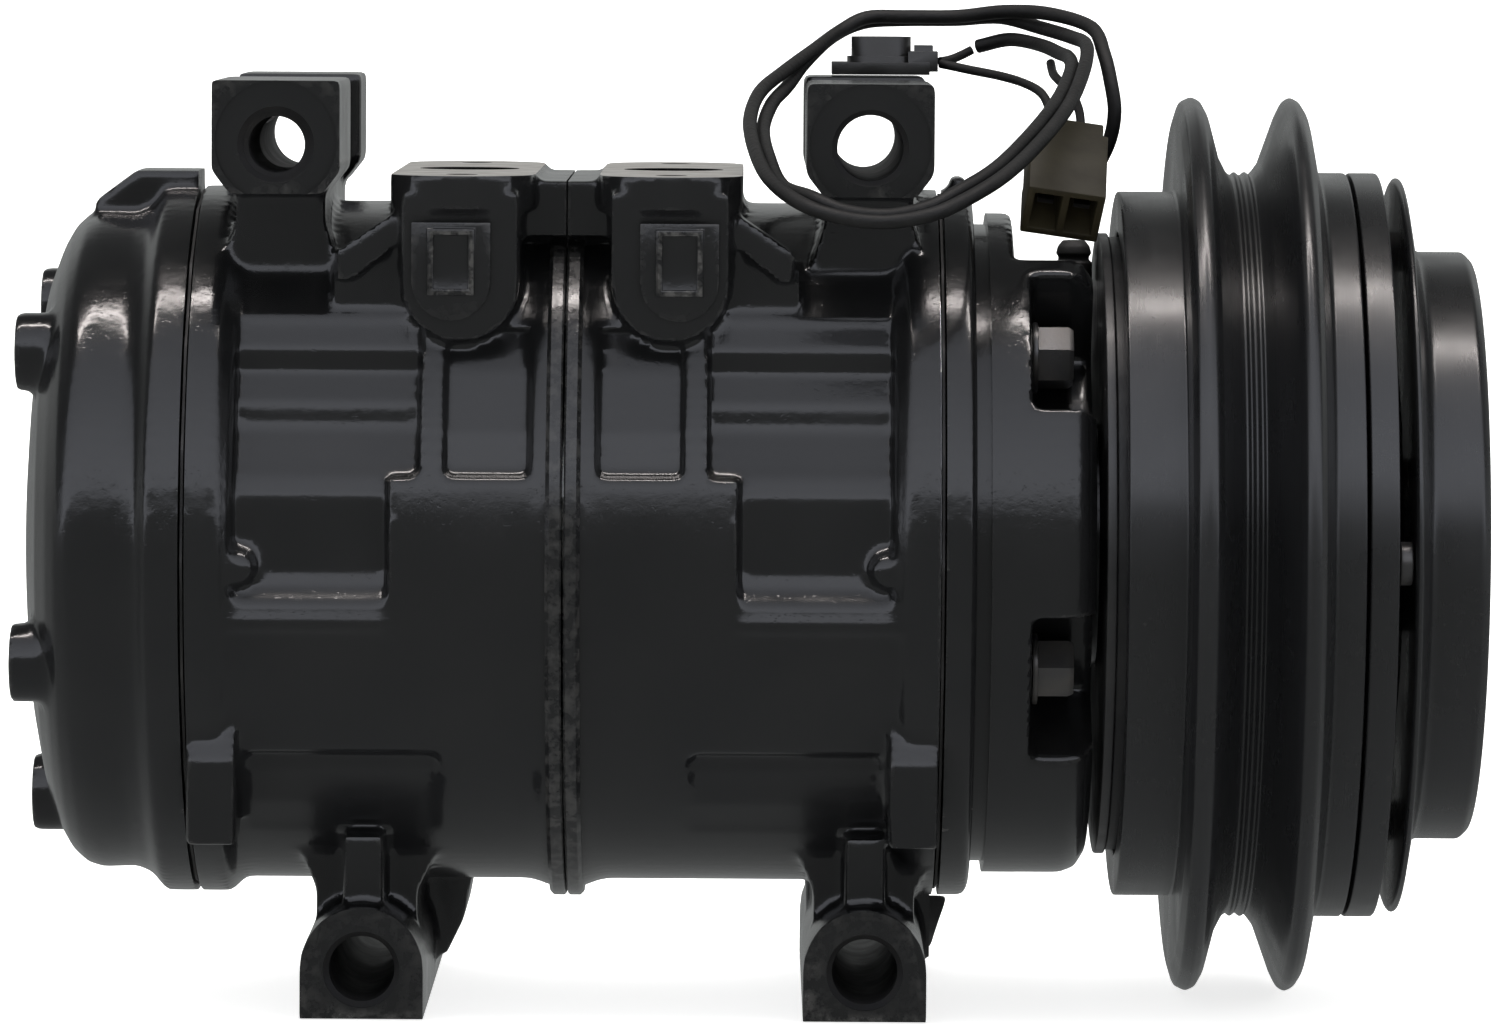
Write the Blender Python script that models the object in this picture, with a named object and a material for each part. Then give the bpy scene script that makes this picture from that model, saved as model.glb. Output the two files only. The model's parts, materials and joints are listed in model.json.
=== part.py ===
"""Swash-plate air-conditioning compressor for a vehicle, with a single-groove electromagnetic clutch.

The shaft lies along X, with the clutch at +X and the mounting ears' bolt faces towards -Y. The origin is on
the ground under the middle of the compressor, which stands on its two lower ears. Outlines are written in
millimetres about the shaft's axis and are scaled to metres when a mesh is made. Everything is parented to an
empty on the shaft's axis.
"""
import math

import bmesh
import bpy
from mathutils import Matrix, Vector

MM = 0.001
GAP = 0.3                       # clearance left between neighbours

# Driving dimensions (mm). X runs along the shaft, radii are from the shaft's axis.
AXIS_HEIGHT = 72.2              # shaft above the ground
SEAM_X = -29.0                  # plane where the two cylinder blocks meet
BARREL_R = 54.5
FLANGE_R = 56.8
BLOCK_LENGTH = 58.5             # from the seam plane to a block's end flange
RECESS_DEPTH = 2.5              # the valve plate's seat in a block's end
PLATE_SEAT_R = 50.2
PISTON_COUNT = 5
BORE_R = 16.0
BORE_CIRCLE_R = 32.0
BOLT_R = 4.0
BOLT_HOLE_R = 4.6
BOLT_CIRCLE_R = 42.0
FIRST_BOLT_ANGLE = 48.0         # degrees from -Y towards +Z
SHAFT_R = 8.0
SWASH_R = 37.5
SWASH_THICKNESS = 7.0
SWASH_TILT = 16.8               # degrees
STROKE = 2 * BORE_CIRCLE_R * math.tan(math.radians(SWASH_TILT))
CHAMBER_R = 38.6
CHAMBER_HALF = 16.0             # half the swash chamber's length
PISTON_HALF = 45.3              # half a double-ended piston's length
PISTON_NECK = 25.0              # half the opening in a piston's middle
EAR_HOLE_R = 5.15
EAR_FACE_Y = 45.0               # the ears' machined faces lie at -Y and +Y
EAR_HOLE_Z = 64.45              # the holes' height above and below the shaft
TOP_EARS_X = (-74.1, 18.4)
BOTTOM_EARS_X = (-60.4, 18.4)
PAD_TOP_Z = 59.8                # machined port face above the shaft
PAD_OFFSET_X = 16.4             # ports either side of the seam plane
LOBE_Y = 35.7                   # clamp bolts' holes either side of the ports
PORT_R = 8.0
TAP_R = 2.5                     # tapped holes for the port clamps' M6 bolts
NOSE_R = 19.5                   # front head's nose, which carries the pulley's bearing
NOTCH_FLOOR_R = 36.0
NOTCH_CUTTER_R = 66.0           # well outside the head's rim
# Notches for the bolts' heads: first and last angle, and the X of the wall behind the head.
HEAD_NOTCHES = ((27.5, 57.0, 44.0), (62.0, 128.5, 41.6), (-36.0, -9.0, 44.0), (-108.0, -84.0, 44.0),
                (-180.0, -156.0, 44.0))
PULLEY_R = 72.0
DRUM_R = 59.9

LARGE = 32                      # sides of the large round pieces
MEDIUM = 20
SMALL = 12
COARSE = 8

BOLT_ANGLES = [FIRST_BOLT_ANGLE - 72.0 * i for i in range(PISTON_COUNT)]
PISTON_ANGLES = [angle + 36.0 for angle in BOLT_ANGLES]

MATERIALS = {
    "black_paint": ((0.012, 0.013, 0.014), 0.25, 0.0),
    "machined_aluminium": ((0.62, 0.62, 0.60), 0.35, 1.0),
    "steel": ((0.45, 0.45, 0.46), 0.30, 1.0),
    "zinc_steel": ((0.30, 0.29, 0.26), 0.40, 1.0),
    "black_rubber": ((0.015, 0.015, 0.015), 0.70, 0.0),
    "black_sleeve": ((0.018, 0.018, 0.018), 0.50, 0.0),
    "black_plastic": ((0.020, 0.020, 0.020), 0.45, 0.0),
    "olive_plastic": ((0.065, 0.055, 0.030), 0.40, 0.0),
    "coil_black": ((0.020, 0.020, 0.022), 0.45, 0.2),
}


def material(name):
    found = bpy.data.materials.get(name)
    if found:
        return found
    color, roughness, metallic = MATERIALS[name]
    made = bpy.data.materials.new(name)
    made.use_nodes = True
    shader = made.node_tree.nodes["Principled BSDF"]
    shader.inputs["Base Color"].default_value = (*color, 1.0)
    shader.inputs["Roughness"].default_value = roughness
    shader.inputs["Metallic"].default_value = metallic
    return made


# ---------------------------------------------------------------- shapes (bmesh, millimetres)

def tidy(bm):
    bmesh.ops.remove_doubles(bm, verts=bm.verts, dist=1e-4)
    bmesh.ops.delete(bm, geom=[edge for edge in bm.edges if not edge.link_faces], context="EDGES")
    bmesh.ops.recalc_face_normals(bm, faces=bm.faces)
    return bm


def turned(outline, sides=LARGE):
    """A solid of revolution about X from a closed outline of (x, radius) points."""
    bm = bmesh.new()
    verts = [bm.verts.new((x, 0.0, r)) for x, r in outline]
    edges = [bm.edges.new(pair) for pair in zip(verts, verts[1:] + verts[:1])]
    bmesh.ops.spin(bm, geom=verts + edges, cent=(0, 0, 0), axis=(1, 0, 0), angle=2 * math.pi,
                   steps=sides, use_merge=True)
    return tidy(bm)


def prism(outline, axis, low, high):
    """An outline extruded along an axis: (x, z) points for Y, (y, z) for X and (x, y) for Z."""
    place = {"X": lambda u, v, w: (w, u, v), "Y": lambda u, v, w: (u, w, v), "Z": lambda u, v, w: (u, v, w)}[axis]
    bm = bmesh.new()
    face = bm.faces.new([bm.verts.new(place(u, v, low)) for u, v in outline])
    top = bmesh.ops.extrude_face_region(bm, geom=[face])["geom"]
    shift = Vector(place(0, 0, high - low))
    bmesh.ops.translate(bm, vec=shift, verts=[item for item in top if isinstance(item, bmesh.types.BMVert)])
    return tidy(bm)


def block(low, high):
    bm = bmesh.new()
    bmesh.ops.create_cube(bm, size=1.0)
    low, high = Vector(low), Vector(high)
    size = high - low
    bmesh.ops.scale(bm, vec=size, verts=bm.verts)
    bmesh.ops.translate(bm, vec=(low + high) / 2, verts=bm.verts)
    return bm


def rod(start, end, radius, sides=MEDIUM):
    """A round bar from start to end."""
    start, end = Vector(start), Vector(end)
    bm = bmesh.new()
    turn = (end - start).to_track_quat("Z", "Y").to_matrix().to_4x4()
    bmesh.ops.create_cone(bm, cap_ends=True, segments=sides, radius1=radius, radius2=radius,
                          depth=(end - start).length, matrix=Matrix.Translation((start + end) / 2) @ turn)
    return bm


def arc(cx, cy, radius, start, end, count):
    """Points on an arc, angles in degrees from the first axis towards the second."""
    angles = [math.radians(start + (end - start) * i / (count - 1)) for i in range(count)]
    return [(cx + radius * math.cos(a), cy + radius * math.sin(a)) for a in angles]


def around(angle, radius):
    """(y, z) of a point at an angle in degrees from -Y towards +Z."""
    a = math.radians(angle)
    return -radius * math.cos(a), radius * math.sin(a)


# ---------------------------------------------------------------- objects

AXIS = bpy.data.objects.new("shaft_axis", None)


def start_scene():
    for obj in list(bpy.data.objects):
        if obj is not AXIS:
            bpy.data.objects.remove(obj)
    AXIS.location.z = AXIS_HEIGHT * MM
    bpy.context.scene.collection.objects.link(AXIS)


def add(name, bm, slot, location=(0, 0, 0), rotation=(0, 0, 0), mesh=None):
    """Makes an object from a bmesh in millimetres, or from a mesh that is already made."""
    if mesh is None:
        bmesh.ops.scale(bm, vec=(MM, MM, MM), verts=bm.verts)
        mesh = bpy.data.meshes.new(name)
        bm.to_mesh(mesh)
        bm.free()
        mesh.materials.append(material(slot))
        mesh.shade_smooth()
        mesh.set_sharp_from_angle(angle=math.radians(35))
    obj = bpy.data.objects.new(name, mesh)
    obj.parent = AXIS
    obj.location = Vector(location) * MM
    obj.rotation_euler = rotation
    bpy.context.scene.collection.objects.link(obj)
    return obj


def boolean(obj, bm, operation):
    """Unites a bmesh in millimetres with an object, or cuts it away from it."""
    tool = add("tool", bm, "black_paint")
    modifier = obj.modifiers.new(operation.lower(), "BOOLEAN")
    modifier.operation = operation
    modifier.solver = "EXACT"
    modifier.object = tool
    bpy.context.view_layer.update()
    graph = bpy.context.evaluated_depsgraph_get()
    result = bpy.data.meshes.new_from_object(obj.evaluated_get(graph))
    obj.modifiers.clear()
    obj.data = result
    bpy.data.objects.remove(tool)
    while len(result.materials) > 1:
        result.materials.pop()
    return obj


def unite(obj, *shapes):
    for bm in shapes:
        boolean(obj, bm, "UNION")


def cut(obj, *shapes):
    for bm in shapes:
        boolean(obj, bm, "DIFFERENCE")


def cut_round(obj, places, start_x, end_x, radius, sides=COARSE):
    """Drills holes along X at (angle, radius) places."""
    for angle, circle in places:
        y, z = around(angle, circle)
        hole = rod((start_x, y, z), (end_x, y, z), radius, sides)
        bmesh.ops.rotate(hole, cent=(0, y, z), matrix=Matrix.Rotation(math.radians(angle), 3, "X").inverted(),
                         verts=hole.verts)
        cut(obj, hole)


# ---------------------------------------------------------------- casing

def ear(x, sign):
    """One mounting ear: bars along Y with a flat outer side, and the stem that carries them."""
    flat_z = sign * (74.5 if sign > 0 else AXIS_HEIGHT)
    centre_z = sign * (66.6 if sign > 0 else 64.3)
    half = 10.0 if sign > 0 else 9.7
    round_side = arc(x, centre_z, half, 0.0, -180.0 * sign, 7)
    outline = [(x + half, flat_z)] + round_side + [(x - half, flat_z)]
    stem_z = sorted((sign * 44.0, sign * 60.5))
    if sign > 0:
        bars = [prism(outline, "Y", -EAR_FACE_Y, -9.0), prism(outline, "Y", 25.0, EAR_FACE_Y),
                block((x - 6.0, -9.5, 50.0), (x + 6.0, 25.5, 67.0))]
    else:
        bars = [prism(outline, "Y", -EAR_FACE_Y, EAR_FACE_Y)]
    stem = block((x - 7.5, -31.0, stem_z[0]), (x + 7.5, 36.0, stem_z[1]))
    return bars + [stem]


def port_pad(x):
    """Half of the machined pad: a cap with two lobes over two U-shaped bosses and the port between them."""
    cap_r, boss_r = 11.2, 9.3
    cap = arc(x, LOBE_Y, cap_r, 0, 180, 7) + arc(x, -LOBE_Y, cap_r, 180, 360, 7)
    boss = [(x + boss_r, PAD_TOP_Z - 5.0)] + arc(x, 43.3, boss_r, 0, -180, 7) + [(x - boss_r, PAD_TOP_Z - 5.0)]
    return [prism(cap, "Z", PAD_TOP_Z - 5.3, PAD_TOP_Z), prism(boss, "Y", -LOBE_Y - boss_r, LOBE_Y + boss_r)]


def cylinder_block(name, side, top_ear_x, bottom_ear_x):
    """One half of the cylinder casing. side is +1 towards the clutch and -1 away from it."""
    end = BLOCK_LENGTH
    seat = end - RECESS_DEPTH
    outline = [(GAP / 2, CHAMBER_R), (GAP / 2, FLANGE_R), (2.7, FLANGE_R), (6.4, BARREL_R), (51.8, BARREL_R),
               (54.3, FLANGE_R), (end, FLANGE_R), (end, PLATE_SEAT_R), (seat, PLATE_SEAT_R), (seat, 12.3),
               (38.0, 12.3), (38.0, SHAFT_R + 0.8), (CHAMBER_HALF, SHAFT_R + 0.8), (CHAMBER_HALF, CHAMBER_R)]
    obj = add(name, turned([(SEAM_X + side * s, r) for s, r in outline]), "black_paint")
    port_x = SEAM_X + side * PAD_OFFSET_X
    unite(obj, *port_pad(port_x), *ear(top_ear_x, 1), *ear(bottom_ear_x, -1))
    ends = sorted((SEAM_X - side * 2.0, SEAM_X + side * (end + 2.0)))
    cut_round(obj, [(a, BORE_CIRCLE_R) for a in PISTON_ANGLES], *ends, BORE_R, MEDIUM)
    cut_round(obj, [(a, BOLT_CIRCLE_R) for a in BOLT_ANGLES], *ends, BOLT_HOLE_R)
    for x, z in ((top_ear_x, EAR_HOLE_Z), (bottom_ear_x, -EAR_HOLE_Z)):
        cut(obj, rod((x, -EAR_FACE_Y - 5, z), (x, EAR_FACE_Y + 5, z), EAR_HOLE_R, SMALL))
    cut(obj, rod((port_x, 0, 49.3), (port_x, 0, PAD_TOP_Z + 5), PORT_R, 16))
    for y in (-LOBE_Y, LOBE_Y):
        cut(obj, rod((port_x, y, 42.0), (port_x, y, PAD_TOP_Z + 5), TAP_R, COARSE))
    return obj


def rear_head():
    face = SEAM_X - BLOCK_LENGTH - 1.0
    outline = [(face, 37.0), (face, FLANGE_R), (-93.3, FLANGE_R), (-95.4, 54.2), (-97.9, 53.1), (-103.6, 53.1),
               (-107.0, 51.2), (-109.5, 48.2), (-111.5, 42.0), (-113.1, 32.0), (-114.0, 20.0), (-114.0, 0.0),
               (-103.0, 0.0), (-103.0, 20.0), (face, 20.0), (face, 24.0), (-103.0, 24.0), (-103.0, 37.0)]
    obj = add("rear_head", turned(outline), "black_paint")
    for angle in BOLT_ANGLES:
        y, z = around(angle, BOLT_CIRCLE_R)
        unite(obj, rod((-115.6, y, z), (-105.0, y, z), 6.0, SMALL))
    rib = [(face, 50.0), (face, 59.4), (-98.4, 59.4), (-105.0, 54.5), (-105.0, 50.0)]
    unite(obj, prism(rib, "Y", -8.0, 8.0))
    cut_round(obj, [(a, BOLT_CIRCLE_R) for a in BOLT_ANGLES], -112.0, face + 5.0, BOLT_HOLE_R)
    return obj


def front_head():
    """The head that carries the clutch: chambers at the back, bolt notches at the rim and the nose in front."""
    face = SEAM_X + BLOCK_LENGTH + 1.0
    outline = [(face, 34.5), (face, FLANGE_R), (34.6, FLANGE_R), (35.2, 51.5), (37.6, 51.5), (38.2, 53.1),
               (50.0, 53.1), (52.6, 52.0), (54.0, 49.6), (54.0, NOSE_R), (93.0, NOSE_R), (93.0, 16.0),
               (76.0, 16.0), (76.0, 13.8), (70.0, 13.8), (70.0, SHAFT_R + 0.8), (face + 6, SHAFT_R + 0.8),
               (face + 6, 12.0), (face, 12.0), (face, 22.0), (41.0, 22.0), (41.0, 34.5)]
    obj = add("front_head", turned(outline), "black_paint")
    unite(obj, block((31.8, -6.0, 50.0), (34.4, 6.0, 59.0)))
    for low, high, back in HEAD_NOTCHES:
        spread = [low + (high - low) * i / 3 for i in range(4)]
        outline = [around(a, NOTCH_FLOOR_R) for a in spread] + [around(a, NOTCH_CUTTER_R) for a in reversed(spread)]
        cut(obj, prism(outline, "X", back, 60.0))
    cut_round(obj, [(a, BOLT_CIRCLE_R) for a in BOLT_ANGLES], face - 5.0, 50.0, BOLT_HOLE_R)
    return obj


def valve_plate(name, low_x):
    high_x = low_x + 2.6
    inner, outer = SHAFT_R + 0.8, PLATE_SEAT_R - GAP
    obj = add(name, turned([(low_x, inner), (low_x, outer), (high_x, outer), (high_x, inner)], MEDIUM), "steel")
    cut_round(obj, [(a, BOLT_CIRCLE_R) for a in BOLT_ANGLES], low_x - 2, high_x + 2, BOLT_HOLE_R)
    cut_round(obj, [(a, BORE_CIRCLE_R - 3.5) for a in PISTON_ANGLES], low_x - 2, high_x + 2, 2.5, 6)
    return obj


def ring(name, low_x, high_x, inner, outer, slot, sides=LARGE):
    return add(name, turned([(low_x, inner), (low_x, outer), (high_x, outer), (high_x, inner)], sides), slot)


def snap_ring(name, low_x, high_x, inner, outer):
    obj = ring(name, low_x, high_x, inner, outer, "steel", MEDIUM)
    cut(obj, block((low_x - 1, -3.0, inner - 3), (high_x + 1, 3.0, outer + 3)))
    return obj


def through_bolts():
    """Five long bolts. The heads sit in the front head's notches and the ends in the rear head's bosses."""
    head_low = 44.3
    bolt = turned([(-108.0, 0), (-108.0, BOLT_R), (head_low, BOLT_R), (head_low, 0)], SMALL)
    first = add("through_bolt_1", bolt, "zinc_steel")
    head = turned([(head_low - 0.05, 0), (head_low - 0.05, 5.4), (50.8, 5.4), (50.8, 0)], 6)
    unite(first, head)
    for i, angle in enumerate(BOLT_ANGLES):
        obj = first if i == 0 else add(f"through_bolt_{i + 1}", None, "zinc_steel", mesh=first.data)
        y, z = around(angle, BOLT_CIRCLE_R)
        obj.location = Vector((0, y, z)) * MM
        obj.rotation_euler.x = -math.radians(angle)


# ---------------------------------------------------------------- shaft and pistons

def shaft():
    outline = [(-80.0, 0), (-80.0, SHAFT_R), (98.0, SHAFT_R), (98.0, 6.0), (111.0, 6.0), (111.0, 0)]
    add("shaft", turned(outline, MEDIUM), "steel")


def swash_plate():
    """A disc leaning on its hub, turned with the shaft; its edge pushes the pistons to and fro."""
    obj = add("swash_plate", turned([(SEAM_X - 12.4, SHAFT_R + GAP), (SEAM_X - 12.4, 15.0),
                                     (SEAM_X + 12.4, 15.0), (SEAM_X + 12.4, SHAFT_R + GAP)], MEDIUM), "steel")
    half = SWASH_THICKNESS / 2
    disc = turned([(-half, 11.0), (-half, SWASH_R), (half, SWASH_R), (half, 11.0)], LARGE)
    lean = Matrix.Rotation(math.radians(SWASH_TILT), 4, "Y")
    bmesh.ops.transform(disc, matrix=Matrix.Translation((SEAM_X, 0, 0)) @ lean, verts=disc.verts)
    unite(obj, disc)
    return obj


def swash_phase(angle):
    """How far along X the swash plate's middle is, at rest, at a cylinder's angle."""
    _, z = around(angle, BORE_CIRCLE_R)
    return z / BORE_CIRCLE_R * STROKE / 2


SHOE_R = 6.0
SHOE_RISE = 4.6
SHOE_FACE = PISTON_NECK - 0.6   # the shoes' flat faces stand a little proud of the necks


def shoe_outline(extra):
    """Domed outline of a shoe about X. Its pocket is the same shape grown by extra and open past the flat face."""
    dome = [((SHOE_RISE + extra) * math.sin(t), (SHOE_R + extra) * math.cos(t)) for t in (0.0, 0.55, 1.05)]
    mouth = [(0, 0)]
    if extra > 0:
        mouth = [(-8 * extra, 0), (-8 * extra, SHOE_R + extra)]
    return mouth + dome + [(SHOE_RISE + extra, 0)]


def pistons():
    """Double-ended pistons, each with two shoes in its neck. Local +Z is away from the shaft."""
    body = turned([(-PISTON_HALF, 0), (-PISTON_HALF, BORE_R - GAP), (PISTON_HALF, BORE_R - GAP),
                   (PISTON_HALF, 0)], MEDIUM)
    first = add("piston_1", body, "machined_aluminium")
    neck_r = SWASH_R + 0.7
    neck = turned([(-PISTON_NECK, 0), (-PISTON_NECK, neck_r), (PISTON_NECK, neck_r), (PISTON_NECK, 0)], LARGE)
    bmesh.ops.translate(neck, vec=(0, 0, -BORE_CIRCLE_R), verts=neck.verts)
    cut(first, neck)
    for turn in (0.0, math.pi):
        pocket = turned(shoe_outline(GAP), SMALL)
        bmesh.ops.translate(pocket, vec=(SHOE_FACE, 0, 0), verts=pocket.verts)
        bmesh.ops.rotate(pocket, matrix=Matrix.Rotation(turn, 3, "Z"), verts=pocket.verts)
        cut(first, pocket)
    shoe = None
    for i, angle in enumerate(PISTON_ANGLES):
        y, z = around(angle, BORE_CIRCLE_R)
        centre_x = SEAM_X + swash_phase(angle)
        roll = math.radians(90.0 - angle)
        piston = first if i == 0 else add(f"piston_{i + 1}", None, "machined_aluminium", mesh=first.data)
        piston.location = Vector((centre_x, y, z)) * MM
        piston.rotation_euler.x = roll
        for end, turn in (("front", 0.0), ("rear", math.pi)):
            name = f"shoe_{end}_{i + 1}"
            if shoe is None:
                made = add(name, turned(shoe_outline(0), SMALL), "steel")
                shoe = made.data
            else:
                made = add(name, None, "steel", mesh=shoe)
            offset = SHOE_FACE if end == "front" else -SHOE_FACE
            made.location = Vector((centre_x + offset, y, z)) * MM
            made.rotation_euler = (0, 0, turn)


def shaft_bearings():
    ring("rear_shaft_bearing", SEAM_X - 54.0, SEAM_X - 38.5, SHAFT_R + GAP, 12.0, "steel", MEDIUM)
    ring("front_shaft_bearing", SEAM_X + 38.5, SEAM_X + 54.0, SHAFT_R + GAP, 12.0, "steel", MEDIUM)
    ring("rear_thrust_bearing", SEAM_X - 15.7, SEAM_X - 12.7, SHAFT_R + 1.0, 15.6, "steel", MEDIUM)
    ring("front_thrust_bearing", SEAM_X + 12.7, SEAM_X + 15.7, SHAFT_R + 1.0, 15.6, "steel", MEDIUM)


def shaft_seal():
    ring("shaft_seal", 70.5, 75.6, SHAFT_R + GAP, 13.4, "black_rubber", MEDIUM)
    snap_ring("seal_snap_ring", 76.3, 77.5, 11.0, 15.6)


# ---------------------------------------------------------------- clutch

def field_coil():
    outline = [(55.6, NOSE_R + GAP), (55.6, 50.0), (57.2, 50.0), (57.2, 49.4), (86.0, 49.4), (86.0, 34.8),
               (57.2, 34.8), (57.2, NOSE_R + GAP)]
    add("field_coil", turned(outline), "coil_black")
    snap_ring("coil_snap_ring", 57.6, 58.6, NOSE_R + GAP, 23.5)


def pulley():
    """Pulley and clutch rotor in one: a bearing hub, a pocket for the coil, the groove and the friction face."""
    outline = [(61.0, 30.4), (61.0, 34.2), (88.5, 34.2), (88.5, 50.2), (58.7, 50.2), (58.7, 56.7), (67.9, 56.7),
               (67.9, 69.6), (70.4, PULLEY_R), (72.6, 70.2), (74.2, 64.1), (76.4, 59.2), (79.6, 59.2),
               (81.4, 61.4), (83.9, 67.9), (86.3, PULLEY_R), (88.7, 69.5), (90.3, DRUM_R), (95.3, DRUM_R),
               (95.3, 30.4)]
    add("pulley", turned(outline), "black_paint")
    ring("bearing_inner_race", 60.5, 84.0, NOSE_R + GAP, 24.0, "steel", MEDIUM)
    ring("bearing_outer_race", 61.0, 84.0, 26.0, 30.1, "steel", MEDIUM)
    snap_ring("pulley_snap_ring", 84.4, 85.6, NOSE_R + GAP, 23.5)


def clutch_plates():
    ring("armature_plate", 95.8, 100.3, 33.0, DRUM_R, "black_paint")
    outline = [(102.9, 33.3), (102.9, 58.5), (103.6, 59.2), (105.4, 59.2), (106.0, 58.6), (106.0, 47.3),
               (114.4, 47.3), (115.6, 46.1), (115.6, 33.3)]
    add("hub_plate", turned(outline), "black_paint")
    for i in range(3):
        y, z = around(1.0 + 120.0 * i, 54.0)
        add(f"rivet_{i + 1}", rod((100.6, y, z), (102.6, y, z), 3.4, SMALL), "zinc_steel")
    ring("damper_ring", 104.0, 114.6, 23.0, 32.6, "black_rubber", MEDIUM)
    inner_hub = [(98.5, 6.4), (98.5, 14.0), (104.0, 14.0), (104.0, 22.7), (114.2, 22.7), (114.2, 9.5),
                 (108.0, 9.5), (108.0, 6.4)]
    add("inner_hub", turned(inner_hub, MEDIUM), "steel")
    hub_nut = add("hub_nut", turned([(108.3, 0), (108.3, 9.0), (113.4, 9.0), (113.4, 0)], 6), "zinc_steel")
    cut(hub_nut, rod((107.0, 0, 0), (111.4, 0, 0), 6.3, MEDIUM))


# ---------------------------------------------------------------- gaskets

def gaskets():
    low = SEAM_X + BLOCK_LENGTH + GAP
    ring("front_gasket", low, low + 0.4, PLATE_SEAT_R + 0.6, FLANGE_R - 0.6, "black_rubber", MEDIUM)
    high = SEAM_X - BLOCK_LENGTH - GAP
    ring("rear_gasket", high - 0.4, high, PLATE_SEAT_R + 0.6, FLANGE_R - 0.6, "black_rubber", MEDIUM)


# ---------------------------------------------------------------- electrics

SLEEVE_R = 1.15
THIN_R = 0.75

# Routes in millimetres about the shaft's axis, each from the end where the lead starts.
COIL_LEAD = [
    (52.2, 10.0, 48.9), (52.3, 10.0, 52.4), (53.5, 10.2, 56.4), (55.9, 10.4, 60.4), (57.9, 9.9, 64.8),
    (58.6, 9.4, 69.4), (58.0, 10.4, 74.0), (57.0, 14.0, 78.6), (55.2, 21.0, 82.8), (48.7, 30.0, 84.9),
    (41.5, 36.0, 85.2), (33.7, 40.0, 84.3), (25.1, 41.0, 84.2), (18.7, 40.0, 84.0), (14.0, 36.0, 81.6),
    (10.0, 28.0, 78.8), (5.4, 18.0, 75.6), (1.2, 6.0, 72.2), (-0.4, -8.0, 68.0), (0.4, -24.0, 63.6),
    (2.8, -38.0, 59.3), (7.5, -48.0, 56.0), (13.6, -52.0, 54.0), (20.6, -53.0, 53.3), (27.6, -52.0, 54.4),
    (33.0, -48.0, 56.6), (39.5, -40.0, 60.3), (45.3, -28.0, 65.2), (50.2, -14.0, 70.6), (53.2, 0.0, 76.2),
    (54.0, 11.0, 80.0), (52.0, 22.5, 81.2), (47.3, 33.4, 82.6), (41.0, 39.2, 84.2), (33.7, 43.0, 83.8),
    (25.1, 44.1, 83.7), (18.3, 43.0, 83.2), (13.0, 38.6, 80.8), (8.4, 28.6, 76.5), (5.7, 18.6, 73.0),
    (3.1, 6.4, 70.3), (1.7, -7.7, 66.3), (2.7, -23.6, 62.2), (4.8, -36.6, 58.3), (9.1, -46.1, 56.9),
    (14.2, -49.3, 54.9), (20.6, -50.3, 54.2), (26.8, -49.4, 55.3), (31.6, -45.8, 57.6), (37.9, -38.0, 61.2),
    (43.7, -26.0, 66.2), (48.5, -12.0, 71.4), (51.2, 2.0, 76.0), (51.3, 13.0, 77.9), (50.0, 22.0, 78.6),
    (47.2, 30.5, 79.8), (42.4, 37.0, 80.6), (37.2, 40.0, 79.4)]
LEAD_TAIL = [(36.2, 40.0, 78.8), (34.4, 39.4, 77.9), (32.6, 38.2, 77.2), (30.9, 36.8, 76.9)]
SWITCH_LEAD = [(30.9, 32.0, 76.6), (33.0, 30.6, 76.2), (36.0, 28.0, 75.6), (40.4, 23.0, 74.8),
               (44.0, 17.0, 73.8), (46.6, 11.2, 72.4), (47.8, 6.6, 70.2), (48.2, 1.8, 67.1), (48.0, -0.8, 65.1)]
BRANCH_LEAD = [(48.8, 26.6, 76.9), (49.0, 22.0, 75.4), (49.6, 16.0, 74.4), (51.4, 9.8, 72.6),
               (52.7, 5.8, 69.6), (52.9, 1.7, 66.2), (52.8, -0.6, 64.5)]


def catmull_rom(points, step):
    """Points about a step apart on a smooth curve through the route's points."""
    points = [Vector(p) for p in points]
    padded = [2 * points[0] - points[1]] + points + [2 * points[-1] - points[-2]]
    fine = []
    for p0, p1, p2, p3 in zip(padded, padded[1:], padded[2:], padded[3:]):
        for i in range(16):
            t = i / 16
            fine.append(0.5 * (2 * p1 + (p2 - p0) * t + (2 * p0 - 5 * p1 + 4 * p2 - p3) * t * t
                               + (3 * p1 - p0 - 3 * p2 + p3) * t ** 3))
    fine.append(points[-1])
    length = sum((b - a).length for a, b in zip(fine, fine[1:]))
    count = max(2, round(length / step))
    spaced, walked, goal = [fine[0]], 0.0, length / count
    for a, b in zip(fine, fine[1:]):
        walked += (b - a).length
        while walked >= goal * len(spaced) and len(spaced) < count:
            back = (walked - goal * len(spaced)) / (b - a).length
            spaced.append(b.lerp(a, back))
    return spaced + [fine[-1]]


def lead(name, route, radius, step):
    points = catmull_rom(route, step)
    curve = bpy.data.curves.new(name, "CURVE")
    curve.dimensions = "3D"
    curve.bevel_depth = radius * MM
    curve.bevel_resolution = 2
    curve.use_fill_caps = True
    spline = curve.splines.new("POLY")
    spline.points.add(len(points) - 1)
    for point, place in zip(spline.points, points):
        point.co = (*(place * MM), 1.0)
    curve.materials.append(material("black_sleeve"))
    obj = bpy.data.objects.new(name, curve)
    obj.parent = AXIS
    bpy.context.scene.collection.objects.link(obj)
    return obj


CONNECTOR_CENTRE = Vector((49.9, -8.4, 59.0))
CONNECTOR_SIZE = (12.4, 9.4, 18.6)


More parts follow.
